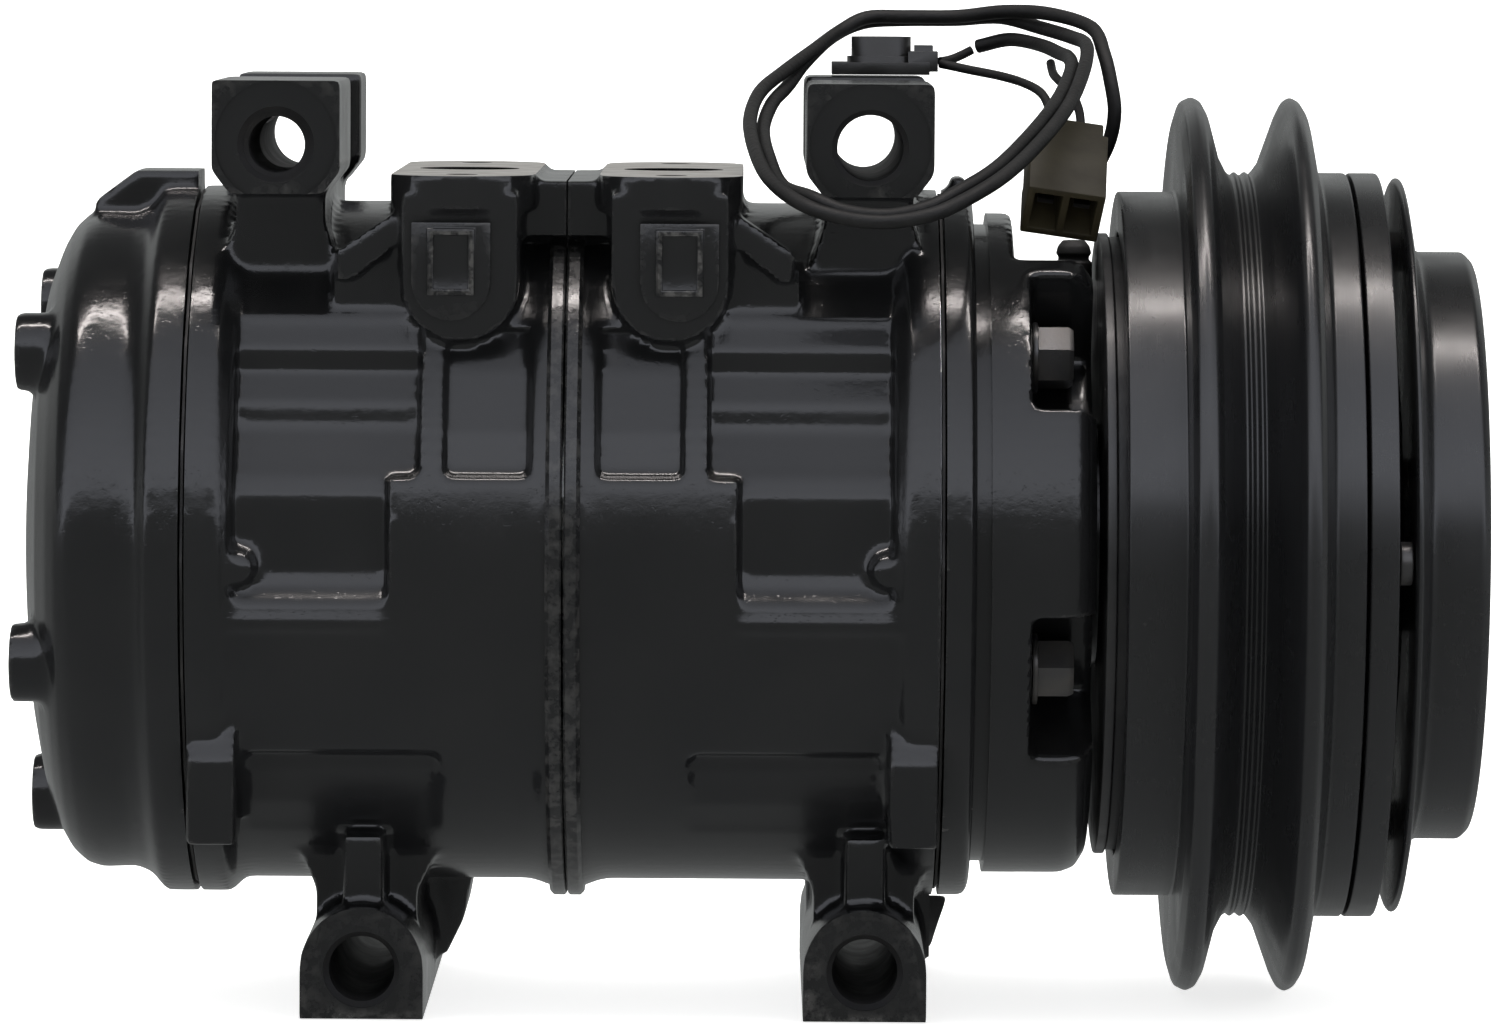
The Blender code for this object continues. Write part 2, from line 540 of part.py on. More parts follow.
def connector():
    """Two-way connector leaning in the notch on top of the front head, mouth down and towards -Y."""
    down = Vector((-0.05, -0.80, -0.60)).normalized()
    across = Vector((0.98, 0.0, -0.17)).normalized()
    thick = across.cross(down).normalized()
    across = down.cross(thick)
    frame = Matrix((across, thick, -down)).transposed().to_4x4()
    place = Matrix.Translation(CONNECTOR_CENTRE) @ frame
    half = Vector(CONNECTOR_SIZE) / 2
    shell = block(-half, half)
    bmesh.ops.transform(shell, matrix=place, verts=shell.verts)
    obj = add("connector_housing", shell, "olive_plastic")
    mouth_depth = 9.0
    for low, high in ((-half.x + 1.2, -0.6), (0.6, half.x - 1.2)):
        cavity = block((low, -half.y + 1.2, -half.z - 1), (high, half.y - 1.2, -half.z + mouth_depth))
        bmesh.ops.transform(cavity, matrix=place, verts=cavity.verts)
        cut(obj, cavity)


def thermal_switch():
    """Thermal switch clipped on the front top ear: a base plate, a round-ended can and a terminal block."""
    base_z = 74.5 + GAP
    obj = add("thermal_switch", block((13.0, 27.0, base_z), (29.0, 41.5, base_z + 2.0)), "black_plastic")
    can = arc(20.4, 33.5, 4.2, 90, 270, 7) + arc(21.8, 33.5, 4.2, -90, 90, 7)
    unite(obj, prism(can, "Z", base_z + 1.5, 81.0), block((25.5, 29.5, base_z + 0.5), (30.4, 39.0, 78.6)))


def coil_grommet():
    outline = [(-3.2, 0), (-3.2, 3.0), (1.6, 3.0), (3.2, 2.0), (3.2, 0)]
    add("coil_grommet", turned(outline, SMALL), "black_rubber", location=(52.2, 10.0, 45.3),
        rotation=(0, -math.pi / 2, 0))


def build():
    start_scene()
    rear_head()
    cylinder_block("rear_cylinder_block", -1, TOP_EARS_X[0], BOTTOM_EARS_X[0])
    cylinder_block("front_cylinder_block", 1, TOP_EARS_X[1], BOTTOM_EARS_X[1])
    front_head()
    valve_plate("rear_valve_plate", SEAM_X - 58.9)
    valve_plate("front_valve_plate", SEAM_X + 56.3)
    gaskets()
    through_bolts()
    shaft()
    swash_plate()
    pistons()
    shaft_bearings()
    shaft_seal()
    field_coil()
    pulley()
    clutch_plates()
    coil_grommet()
    thermal_switch()
    connector()
    lead("coil_lead", COIL_LEAD, SLEEVE_R, 7.6)
    lead("lead_tail", LEAD_TAIL, THIN_R, 1.8)
    lead("switch_lead", SWITCH_LEAD, THIN_R, 3.4)
    lead("branch_lead", BRANCH_LEAD, THIN_R, 3.4)


build()
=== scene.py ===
# %% [markdown]
# # A swash-plate air-conditioning compressor
#
# The real object is a barrel of aluminium castings painted gloss black, with a turned steel clutch at one end.
# The CAD model gives every joint, hole and size. This lesson adds the skin: soft cast edges, turned steel,
# a nylon connector and black leads. Everything is drawn in millimetres about the shaft and is then put in place,
# in metres, by one matrix, so the numbers read like a workshop drawing.

# %% The frame
import json
import math

import bmesh
import bpy
from mathutils import Matrix, Vector


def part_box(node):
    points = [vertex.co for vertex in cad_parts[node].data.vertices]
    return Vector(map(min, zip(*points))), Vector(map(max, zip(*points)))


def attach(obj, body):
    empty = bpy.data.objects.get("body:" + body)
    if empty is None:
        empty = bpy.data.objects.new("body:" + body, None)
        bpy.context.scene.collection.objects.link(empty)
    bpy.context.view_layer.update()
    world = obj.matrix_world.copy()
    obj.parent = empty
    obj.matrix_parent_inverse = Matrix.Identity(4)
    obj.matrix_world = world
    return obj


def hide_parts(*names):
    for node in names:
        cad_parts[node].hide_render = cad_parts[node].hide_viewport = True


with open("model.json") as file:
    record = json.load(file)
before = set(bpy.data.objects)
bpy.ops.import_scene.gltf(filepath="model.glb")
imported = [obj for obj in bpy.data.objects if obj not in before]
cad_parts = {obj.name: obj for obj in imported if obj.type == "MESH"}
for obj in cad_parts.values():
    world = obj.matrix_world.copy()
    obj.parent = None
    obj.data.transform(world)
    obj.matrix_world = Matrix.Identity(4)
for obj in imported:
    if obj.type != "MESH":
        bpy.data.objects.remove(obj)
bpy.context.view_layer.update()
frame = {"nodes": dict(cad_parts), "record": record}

MM = 0.001
shaft_low, shaft_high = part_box("shaft")
AXIS_HEIGHT = (shaft_low.z + shaft_high.z) / 2
PLACE = Matrix.Translation((0, 0, AXIS_HEIGHT)) @ Matrix.Scale(MM, 4)
scene = bpy.context.scene
print("shaft axis", round(AXIS_HEIGHT / MM, 2), "mm above the ground")

# %% [markdown]
# ## Camera
#
# A long lens far away keeps the barrel's two ends nearly parallel, as in a catalogue picture. The camera stands
# at the height of a table's edge and looks slightly down, so the tops of the ears and the port face just show.

# %% Camera
CAMERA_DISTANCE = 1.35
CAMERA_LENS = 200.9
CAMERA_DOWN = math.radians(3.9)
CAMERA_ROLL = math.radians(0.36)
TARGET = Vector((0, 0, 0.0763))

camera = bpy.data.objects.new("camera", bpy.data.cameras.new("camera"))
camera.data.lens = CAMERA_LENS
camera.data.sensor_width = 36.0
camera.data.clip_end = 50
back = Vector((0, -math.cos(CAMERA_DOWN), math.sin(CAMERA_DOWN)))
look = (-back).to_track_quat("-Z", "Y").to_matrix().to_4x4()
roll = Matrix.Rotation(CAMERA_ROLL, 4, "Z")
camera.matrix_world = Matrix.Translation(TARGET + back * CAMERA_DISTANCE) @ look @ roll
scene.collection.objects.link(camera)
scene.camera = camera

# %% [markdown]
# ## Leads
#
# One long sleeved lead leaves a grommet by the coil, makes two turns round the front ear and ends at the thermal
# switch. Two thin wires run to the connector. A curve is the right tool: it is a length of something flexible,
# and its bevel gives the tube. The route's points are listed and a Catmull-Rom curve runs through them.

# %% Routes, in millimetres about the shaft
COIL_LEAD = [
    (52.2, 10.0, 48.9), (52.3, 10.0, 52.4), (53.5, 10.2, 56.4), (55.9, 10.4, 60.4), (57.9, 9.9, 64.8),
    (58.6, 9.4, 69.4), (58.0, 10.4, 74.0), (57.0, 14.0, 78.6), (55.2, 21.0, 82.8), (48.7, 30.0, 84.9),
    (41.5, 36.0, 85.2), (33.7, 40.0, 84.3), (25.1, 41.0, 84.2), (18.7, 40.0, 84.0), (14.0, 36.0, 81.6),
    (10.0, 28.0, 78.8), (5.4, 18.0, 75.6), (1.2, 6.0, 72.2), (-0.4, -8.0, 68.0), (0.4, -24.0, 63.6),
    (2.8, -38.0, 59.3), (7.5, -48.0, 56.0), (13.6, -52.0, 54.0), (20.6, -53.0, 53.3), (27.6, -52.0, 54.4),
    (33.0, -48.0, 56.6), (39.5, -40.0, 60.3), (45.3, -28.0, 65.2), (50.2, -14.0, 70.6), (53.2, 0.0, 76.2),
    (54.0, 11.0, 80.0), (52.0, 22.5, 81.2), (47.3, 33.4, 82.6), (41.0, 39.2, 84.2), (33.7, 43.0, 83.8),
    (25.1, 44.1, 83.7), (18.3, 43.0, 83.2), (13.0, 38.6, 80.8), (8.4, 28.6, 76.5), (5.7, 18.6, 73.0),
    (3.1, 6.4, 70.3), (1.7, -7.7, 66.3), (2.7, -23.6, 62.2), (4.8, -36.6, 58.3), (9.1, -46.1, 56.9),
    (14.2, -49.3, 54.9), (20.6, -50.3, 54.2), (26.8, -49.4, 55.3), (31.6, -45.8, 57.6), (37.9, -38.0, 61.2),
    (43.7, -26.0, 66.2), (48.5, -12.0, 71.4), (51.2, 2.0, 76.0), (51.3, 13.0, 77.9), (50.0, 22.0, 78.6),
    (47.2, 30.5, 79.8), (42.4, 37.0, 80.6), (37.2, 40.0, 79.4)]
LEAD_TAIL = [(36.2, 40.0, 78.8), (34.4, 39.4, 77.9), (32.6, 38.2, 77.2), (30.9, 36.8, 76.9)]
SWITCH_LEAD = [(30.9, 32.0, 76.6), (33.0, 30.6, 76.2), (36.0, 28.0, 75.6), (40.4, 23.0, 74.8),
               (44.0, 17.0, 73.8), (46.6, 11.2, 72.4), (47.8, 6.6, 70.2), (48.2, 1.8, 67.1), (48.0, -0.8, 65.1)]
BRANCH_LEAD = [(48.8, 26.6, 76.9), (49.0, 22.0, 75.4), (49.6, 16.0, 74.4), (51.4, 9.8, 72.6),
               (52.7, 5.8, 69.6), (52.9, 1.7, 66.2), (52.8, -0.6, 64.5)]
SLEEVE_R = 1.15
THIN_R = 0.75


# %% A smooth curve through a route, and the length it has
def smooth_route(route, steps=6):
    points = [Vector(p) for p in route]
    padded = [2 * points[0] - points[1]] + points + [2 * points[-1] - points[-2]]
    fine = []
    for p0, p1, p2, p3 in zip(padded, padded[1:], padded[2:], padded[3:]):
        for i in range(steps):
            t = i / steps
            fine.append(0.5 * (2 * p1 + (p2 - p0) * t + (2 * p0 - 5 * p1 + 4 * p2 - p3) * t * t
                               + (3 * p1 - p0 - 3 * p2 + p3) * t ** 3))
    return [PLACE @ p for p in fine + [points[-1]]]


def length_of(points):
    return sum((b - a).length for a, b in zip(points, points[1:]))


def lead(name, route, radius):
    points = smooth_route(route)
    curve = bpy.data.curves.new(name, "CURVE")
    curve.dimensions = "3D"
    curve.bevel_depth = radius * MM
    curve.bevel_resolution = 4
    curve.use_fill_caps = True
    spline = curve.splines.new("POLY")
    spline.points.add(len(points) - 1)
    for point, place in zip(spline.points, points):
        point.co = (*place, 1.0)
    spline.use_smooth = True
    obj = bpy.data.objects.new(name, curve)
    scene.collection.objects.link(obj)
    print(name, round(length_of(points) / MM, 1), "mm long")
    return obj, points


sleeved_lead, sleeved_points = lead("sleeved_lead", COIL_LEAD, SLEEVE_R)
tail_wire, _ = lead("tail_wire", LEAD_TAIL, THIN_R)
switch_wire, switch_points = lead("switch_wire", SWITCH_LEAD, THIN_R)
branch_wire, branch_points = lead("branch_wire", BRANCH_LEAD, THIN_R)


# %% [markdown]
# ## Workshop tools
#
# A turned shape is an outline spun round the shaft, a prism is an outline pushed along an axis, and a rod is a
# round bar. All of them are closed shapes made with bmesh. Boolean modifiers cut one from another.

# %% Closed shapes
def tidy(shape):
    bmesh.ops.remove_doubles(shape, verts=shape.verts, dist=1e-4)
    bmesh.ops.delete(shape, geom=[e for e in shape.edges if not e.link_faces], context="EDGES")
    bmesh.ops.recalc_face_normals(shape, faces=shape.faces)
    return shape


def turned(outline, sides=96):
    """A solid of revolution about X from a closed outline of (x, radius) points."""
    shape = bmesh.new()
    verts = [shape.verts.new((x, 0.0, r)) for x, r in outline]
    edges = [shape.edges.new(pair) for pair in zip(verts, verts[1:] + verts[:1])]
    bmesh.ops.spin(shape, geom=verts + edges, cent=(0, 0, 0), axis=(1, 0, 0), angle=2 * math.pi, steps=sides,
                   use_merge=True)
    return tidy(shape)


def prism(outline, axis, low, high):
    """An outline pushed along an axis: (x, z) points for Y, (y, z) for X and (x, y) for Z."""
    place = {"X": lambda u, v, w: (w, u, v), "Y": lambda u, v, w: (u, w, v), "Z": lambda u, v, w: (u, v, w)}[axis]
    shape = bmesh.new()
    face = shape.faces.new([shape.verts.new(place(u, v, low)) for u, v in outline])
    far = bmesh.ops.extrude_face_region(shape, geom=[face])["geom"]
    bmesh.ops.translate(shape, vec=Vector(place(0, 0, high - low)),
                        verts=[item for item in far if isinstance(item, bmesh.types.BMVert)])
    return tidy(shape)


def block(low, high):
    shape = bmesh.new()
    bmesh.ops.create_cube(shape, size=1.0)
    low, high = Vector(low), Vector(high)
    bmesh.ops.scale(shape, vec=high - low, verts=shape.verts)
    bmesh.ops.translate(shape, vec=(low + high) / 2, verts=shape.verts)
    return shape


def rod(start, end, radius, sides=48):
    start, end = Vector(start), Vector(end)
    shape = bmesh.new()
    turn = (end - start).to_track_quat("Z", "Y").to_matrix().to_4x4()
    bmesh.ops.create_cone(shape, cap_ends=True, segments=sides, radius1=radius, radius2=radius,
                          depth=(end - start).length, matrix=Matrix.Translation((start + end) / 2) @ turn)
    return shape


def ball(centre, radius):
    shape = bmesh.new()
    bmesh.ops.create_uvsphere(shape, u_segments=24, v_segments=16, radius=radius,
                              matrix=Matrix.Translation(centre))
    return shape


def arc(cx, cy, radius, start, end, count=13):
    angles = [math.radians(start + (end - start) * i / (count - 1)) for i in range(count)]
    return [(cx + radius * math.cos(a), cy + radius * math.sin(a)) for a in angles]


def around(angle, radius):
    """(y, z) of a point at an angle in degrees from -Y towards +Z."""
    a = math.radians(angle)
    return -radius * math.cos(a), radius * math.sin(a)


def softened(outline, radius, steps=4):
    """The same closed outline with each corner rounded, as a turning tool leaves it."""
    result = []
    for i, corner in enumerate(outline):
        corner = Vector(corner)
        before, after = Vector(outline[i - 1]), Vector(outline[(i + 1) % len(outline)])
        reach = min(radius, (corner - before).length * 0.45, (corner - after).length * 0.45)
        if corner.y < 0.01 or reach < 0.02:
            result.append(tuple(corner))
            continue
        start = corner + (before - corner).normalized() * reach
        end = corner + (after - corner).normalized() * reach
        for step in range(steps + 1):
            t = step / steps
            result.append(tuple(start * (1 - t) ** 2 + corner * 2 * t * (1 - t) + end * t * t))
    return result


# %% Workpieces and cuts
def joined(shapes):
    whole = bmesh.new()
    for shape in shapes:
        part = bpy.data.meshes.new("part")
        shape.to_mesh(part)
        shape.free()
        whole.from_mesh(part)
        bpy.data.meshes.remove(part)
    return whole


def workpiece(name, *shapes):
    mesh = bpy.data.meshes.new(name)
    whole = joined(shapes)
    whole.to_mesh(mesh)
    whole.free()
    obj = bpy.data.objects.new(name, mesh)
    scene.collection.objects.link(obj)
    return obj


def apply_modifiers(obj):
    bpy.context.view_layer.update()
    graph = bpy.context.evaluated_depsgraph_get()
    done = bpy.data.meshes.new_from_object(obj.evaluated_get(graph))
    obj.modifiers.clear()
    before = obj.data
    obj.data = done
    bpy.data.meshes.remove(before)
    return obj


def combine(obj, tool, operation):
    change = obj.modifiers.new("change", "BOOLEAN")
    change.operation = operation
    change.solver = "EXACT"
    change.object = tool
    apply_modifiers(obj)
    bpy.data.objects.remove(tool)
    return obj


def unite(obj, *shapes):
    for shape in shapes:
        combine(obj, workpiece("tool", shape), "UNION")
    return obj


def cut(obj, *shapes):
    for shape in shapes:
        combine(obj, workpiece("tool", shape), "DIFFERENCE")
    return obj


def add_loose(obj, *shapes):
    """Adds shapes to a workpiece without joining them; the cast skin does that."""
    rough = workpiece("rough", *shapes)
    whole = bmesh.new()
    whole.from_mesh(obj.data)
    whole.from_mesh(rough.data)
    whole.to_mesh(obj.data)
    whole.free()
    bpy.data.objects.remove(rough)


def bevelled(obj, width):
    """A workpiece with small bevels on its edges, as moulded plastic has."""
    edges = obj.modifiers.new("edges", "BEVEL")
    edges.width = width
    edges.segments = 2
    edges.limit_method = "ANGLE"
    return apply_modifiers(obj)


# %% [markdown]
# ## Cast edges
#
# Sand and die castings have no sharp edges: every inner corner carries a fillet. Instead of bevelling hundreds of
# edges one by one, the rough shape is wrapped in a fine voxel skin, which joins all its overlapping blocks, and
# the skin is then relaxed. Machined faces and holes are cut afterwards, so they stay crisp.

# %% Cast skin
VOXEL = 0.75
RELAX_PASSES = 4


def cast_skin(obj, voxel=VOXEL, passes=RELAX_PASSES):
    skin = obj.modifiers.new("skin", "REMESH")
    skin.mode = "VOXEL"
    skin.voxel_size = voxel
    skin.use_smooth_shade = True
    relax = obj.modifiers.new("relax", "SMOOTH")
    relax.factor = 0.5
    relax.iterations = passes
    return apply_modifiers(obj)


def set_down(obj, name, body, materials, nodes, sharp=38):
    """Puts a finished workpiece in place and hands it to its CAD body."""
    obj.name = name
    mesh = obj.data
    mesh.name = name
    mesh.transform(PLACE)
    mesh.materials.clear()
    for material in materials:
        mesh.materials.append(material)
    mesh.shade_smooth()
    mesh.set_sharp_from_angle(angle=math.radians(sharp))
    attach(obj, body)
    if nodes:
        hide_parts(*nodes)
    print(name, len(mesh.polygons), "faces")
    return obj


# %% [markdown]
# ## Finishes
#
# Gloss black paint over a casting is never a flat black: it has a fine orange peel, a few pits, and thin grey
# wear where edges rub. These effects are node groups, so each paint and metal can use them at its own strength.

# %% Node group helpers
COLOUR = "NodeSocketColor"
NUMBER = "NodeSocketFloat"


def group_tree(name, inputs):
    tree = bpy.data.node_groups.new(name, "ShaderNodeTree")
    for label, kind, value in inputs:
        socket = tree.interface.new_socket(label, in_out="INPUT", socket_type=kind)
        socket.default_value = value
    for label, kind in (("Colour", COLOUR), ("Roughness", NUMBER), ("Height", NUMBER)):
        tree.interface.new_socket(label, in_out="OUTPUT", socket_type=kind)
    return tree, tree.nodes.new("NodeGroupInput"), tree.nodes.new("NodeGroupOutput")


def hand_over(tree, out, colour, rough, height):
    for label, value in (("Colour", colour), ("Roughness", rough), ("Height", height)):
        tree.links.new(value, out.inputs[label])
    return tree


def feed(tree, value, socket):
    """Sets a socket to a number or a colour, or links it to another node's output."""
    if isinstance(value, (int, float)):
        socket.default_value = value
    elif isinstance(value, tuple):
        socket.default_value = (*value, 1.0)
    else:
        tree.links.new(value, socket)


def noise_node(tree, vector, scale, detail, roughness=0.55):
    node = tree.nodes.new("ShaderNodeTexNoise")
    node.inputs["Detail"].default_value = detail
    node.inputs["Roughness"].default_value = roughness
    tree.links.new(vector, node.inputs["Vector"])
    feed(tree, scale, node.inputs["Scale"])
    return node.outputs["Fac"]


def math_node(tree, operation, a, b=0.0):
    node = tree.nodes.new("ShaderNodeMath")
    node.operation = operation
    feed(tree, a, node.inputs[0])
    feed(tree, b, node.inputs[1])
    return node.outputs[0]


def range_node(tree, value, low, high, out_low=0.0, out_high=1.0):
    node = tree.nodes.new("ShaderNodeMapRange")
    tree.links.new(value, node.inputs["Value"])
    for label, bound in (("From Min", low), ("From Max", high), ("To Min", out_low), ("To Max", out_high)):
        feed(tree, bound, node.inputs[label])
    return node.outputs["Result"]


def mix_colours(tree, amount, a, b):
    node = tree.nodes.new("ShaderNodeMix")
    node.data_type = "RGBA"
    for value, label in ((amount, "Factor"), (a, "A"), (b, "B")):
        feed(tree, value, node.inputs[label])
    return node.outputs["Result"]


# %% Group: the peel, pits and worn edges of paint on a casting
def make_cast_paint():
    tree, given, out = group_tree(
        "cast_paint",
        [("Paint", COLOUR, (0.01, 0.0105, 0.011, 1)), ("Worn", COLOUR, (0.10, 0.098, 0.094, 1)),
         ("Peel Scale", NUMBER, 900.0), ("Wear", NUMBER, 0.5),
         ("Smooth", NUMBER, 0.16), ("Rough", NUMBER, 0.32)])
    where = tree.nodes.new("ShaderNodeTexCoord").outputs["Object"]
    peel = noise_node(tree, where, given.outputs["Peel Scale"], 3.0)
    broad = noise_node(tree, where, 60.0, 4.0)
    pits = noise_node(tree, where, 1500.0, 1.0)
    point = tree.nodes.new("ShaderNodeNewGeometry").outputs["Pointiness"]
    edge = range_node(tree, point, 0.53, 0.62)
    ragged = range_node(tree, noise_node(tree, where, 420.0, 5.0, 0.7), 0.45, 0.62)
    worn = math_node(tree, "MULTIPLY", math_node(tree, "MULTIPLY", edge, ragged), given.outputs["Wear"])
    colour = mix_colours(tree, worn, given.outputs["Paint"], given.outputs["Worn"])
    dusty = range_node(tree, broad, 0.35, 0.75, 0.0, 0.35)
    colour = mix_colours(tree, math_node(tree, "MULTIPLY", dusty, 0.1), colour, (0.05, 0.047, 0.042))
    rough = range_node(tree, broad, 0.3, 0.7, given.outputs["Smooth"], given.outputs["Rough"])
    rough = math_node(tree, "ADD", rough, math_node(tree, "MULTIPLY", worn, 0.25))
    pit = range_node(tree, pits, 0.66, 0.74, 0.0, -0.9)
    height = math_node(tree, "ADD", peel, pit)
    return hand_over(tree, out, colour, rough, height)


# %% Group: the fine rings that a lathe tool leaves round the shaft
def make_turning_marks():
    tree, given, out = group_tree(
        "turning_marks",
        [("Colour", COLOUR, (0.01, 0.01, 0.011, 1)), ("Rings", NUMBER, 2600.0),
         ("Smooth", NUMBER, 0.2), ("Rough", NUMBER, 0.34)])
    where = tree.nodes.new("ShaderNodeTexCoord").outputs["Object"]
    parts = tree.nodes.new("ShaderNodeSeparateXYZ")
    tree.links.new(where, parts.inputs[0])
    up = math_node(tree, "SUBTRACT", parts.outputs["Z"], AXIS_HEIGHT)
    square = math_node(tree, "ADD", math_node(tree, "MULTIPLY", parts.outputs["Y"], parts.outputs["Y"]),
                       math_node(tree, "MULTIPLY", up, up))
    radius = math_node(tree, "SQRT", square)
    spot = tree.nodes.new("ShaderNodeCombineXYZ")
    tree.links.new(parts.outputs["X"], spot.inputs["X"])
    tree.links.new(radius, spot.inputs["Y"])
    rings = noise_node(tree, spot.outputs[0], given.outputs["Rings"], 2.0, 0.6)
    broad = noise_node(tree, where, 70.0, 4.0)
    specks = range_node(tree, noise_node(tree, where, 900.0, 4.0, 0.7), 0.6, 0.8)
    rough = range_node(tree, broad, 0.3, 0.7, given.outputs["Smooth"], given.outputs["Rough"])
    rough = math_node(tree, "ADD", rough, math_node(tree, "MULTIPLY", rings, 0.06))
    colour = mix_colours(tree, math_node(tree, "MULTIPLY", specks, 0.25), given.outputs["Colour"],
                         (0.06, 0.056, 0.05))
    return hand_over(tree, out, colour, rough, rings)


# %% Group: even grain for plastic, rubber and plain metal
def make_fine_grain():
    tree, given, out = group_tree(
        "fine_grain",
        [("Colour", COLOUR, (0.02, 0.02, 0.02, 1)), ("Tint", COLOUR, (0.04, 0.04, 0.04, 1)),
         ("Grain", NUMBER, 1800.0), ("Smooth", NUMBER, 0.35),
         ("Rough", NUMBER, 0.5)])
    where = tree.nodes.new("ShaderNodeTexCoord").outputs["Object"]
    grain = noise_node(tree, where, given.outputs["Grain"], 3.0)
    broad = noise_node(tree, where, 160.0, 4.0)
    colour = mix_colours(tree, range_node(tree, broad, 0.35, 0.75), given.outputs["Colour"], given.outputs["Tint"])
    rough = range_node(tree, broad, 0.3, 0.7, given.outputs["Smooth"], given.outputs["Rough"])
    return hand_over(tree, out, colour, rough, grain)


GROUPS = {"cast_paint": make_cast_paint(), "turning_marks": make_turning_marks(), "fine_grain": make_fine_grain()}


# %% A material is a Principled BSDF fed by one of the groups
def finish_of(name, group, values, bump, metallic=0.0, ior=1.45, **shader_values):
    made = bpy.data.materials.new(name)
    made.use_nodes = True
    tree = made.node_tree
    shader = tree.nodes["Principled BSDF"]
    shader.inputs["Metallic"].default_value = metallic
    shader.inputs["IOR"].default_value = ior
    for label, value in shader_values.items():
        shader.inputs[label.replace("_", " ")].default_value = value
    source = tree.nodes.new("ShaderNodeGroup")
    source.node_tree = GROUPS[group]
    for label, value in values.items():
        socket = source.inputs[label]
        socket.default_value = (*value, 1.0) if isinstance(value, tuple) else value
    relief = tree.nodes.new("ShaderNodeBump")
    relief.inputs["Strength"].default_value = bump
    relief.inputs["Distance"].default_value = 0.0003
    tree.links.new(source.outputs["Height"], relief.inputs["Height"])
    tree.links.new(source.outputs["Colour"], shader.inputs["Base Color"])
    tree.links.new(source.outputs["Roughness"], shader.inputs["Roughness"])
    tree.links.new(relief.outputs["Normal"], shader.inputs["Normal"])
    return made


black_casting = finish_of(
    "black_casting", "cast_paint", {"Paint": (0.0075, 0.0078, 0.0084), "Peel Scale": 700.0, "Wear": 0.55,
                                    "Smooth": 0.13, "Rough": 0.22}, 0.10, ior=1.40)
black_clutch = finish_of(
    "black_clutch", "turning_marks", {"Colour": (0.0085, 0.0088, 0.0096), "Smooth": 0.2, "Rough": 0.32}, 0.06,
    ior=1.45)
# Painted shade: a darker, rough finish on the ear-hole walls stands in for the shadow inside the holes.
painted_bore_shade = finish_of(
    "painted_bore_shade", "fine_grain", {"Colour": (0.006, 0.006, 0.0065), "Tint": (0.012, 0.0115, 0.011), "Smooth": 0.5,
                                "Rough": 0.7}, 0.1, ior=1.3)
machined_face = finish_of(
    "machined_face", "fine_grain", {"Colour": (0.50, 0.48, 0.45), "Tint": (0.30, 0.28, 0.26), "Grain": 1400.0,
                                    "Smooth": 0.28, "Rough": 0.48}, 0.12, metallic=0.9)
bare_steel = finish_of(
    "bare_steel", "turning_marks", {"Colour": (0.42, 0.42, 0.43), "Smooth": 0.2, "Rough": 0.34}, 0.05, metallic=1.0)
bare_aluminium = finish_of(
    "bare_aluminium", "turning_marks", {"Colour": (0.66, 0.66, 0.65), "Smooth": 0.25, "Rough": 0.4}, 0.05,
    metallic=1.0)
zinc_steel = finish_of(
    "zinc_steel", "fine_grain", {"Colour": (0.045, 0.045, 0.047), "Tint": (0.075, 0.07, 0.064), "Grain": 2200.0,
                                 "Smooth": 0.26, "Rough": 0.42}, 0.06, metallic=0.5)
black_rubber = finish_of(
    "black_rubber", "fine_grain", {"Colour": (0.012, 0.012, 0.012), "Tint": (0.022, 0.021, 0.02),
                                   "Smooth": 0.55, "Rough": 0.75}, 0.15)
black_plastic = finish_of(
    "black_plastic", "fine_grain", {"Colour": (0.012, 0.012, 0.012), "Tint": (0.02, 0.02, 0.02),
                                    "Smooth": 0.3, "Rough": 0.45}, 0.08)
black_sleeve = finish_of(
    "black_sleeve", "fine_grain", {"Colour": (0.005, 0.005, 0.005), "Tint": (0.012, 0.012, 0.0115), "Grain": 1100.0,
                                   "Smooth": 0.5, "Rough": 0.68}, 0.35, ior=1.3)
olive_nylon = finish_of(
    "olive_nylon", "fine_grain", {"Colour": (0.040, 0.034, 0.019), "Tint": (0.024, 0.020, 0.012), "Grain": 1300.0,
                                  "Smooth": 0.5, "Rough": 0.62}, 0.08, ior=1.25)
coil_enamel = finish_of(
    "coil_enamel", "fine_grain", {"Colour": (0.010, 0.010, 0.011), "Tint": (0.018, 0.018, 0.018),
                                  "Smooth": 0.3, "Rough": 0.5}, 0.1)
print(len(bpy.data.materials), "materials")

# %% [markdown]
# ## Sizes of the castings
#
# The two cylinder blocks are mirror images apart from their ears, so each feature is given by its distance from
# the seam between them. The bores, bolt holes and chamber are the CAD model's.

# %% Sizes
SEAM_X = -29.0
BARREL_R = 54.5
FLANGE_R = 56.8
BLOCK_LENGTH = 58.5
BORE_R = 16.0
BORE_CIRCLE_R = 32.0
BOLT_CIRCLE_R = 42.0
BOLT_HOLE_R = 4.6
BOLT_ANGLES = [48.0 - 72.0 * i for i in range(5)]
EAR_FACE_Y = 45.0
EAR_HOLE_R = 5.15
EAR_HOLE_Z = 64.45
TOP_FLAT_Z = 74.5
FOOT_Z = -72.2
PAD_TOP_Z = 59.8
PORT_OFFSET = 16.4
LOBE_Y = 35.7
NOSE_R = 19.5
PANEL_STEP_Z = 13.2              # the stepped panels are longer above this height
HOLE_SHADE_R = 5.6               # faces nearer an ear hole's axis than this are its wall, and get the painted bore shade


# %% [markdown]
# ## Mounting ears
#
# Each top ear is two lugs on a web; each lower ear is one bar with a D-shaped section and a flat foot. A stem
# under it flares into the barrel. The lugs are made a little long, and their faces are machined back afterwards.

# %% Ears
RAW = 0.8                        # metal left on for machining


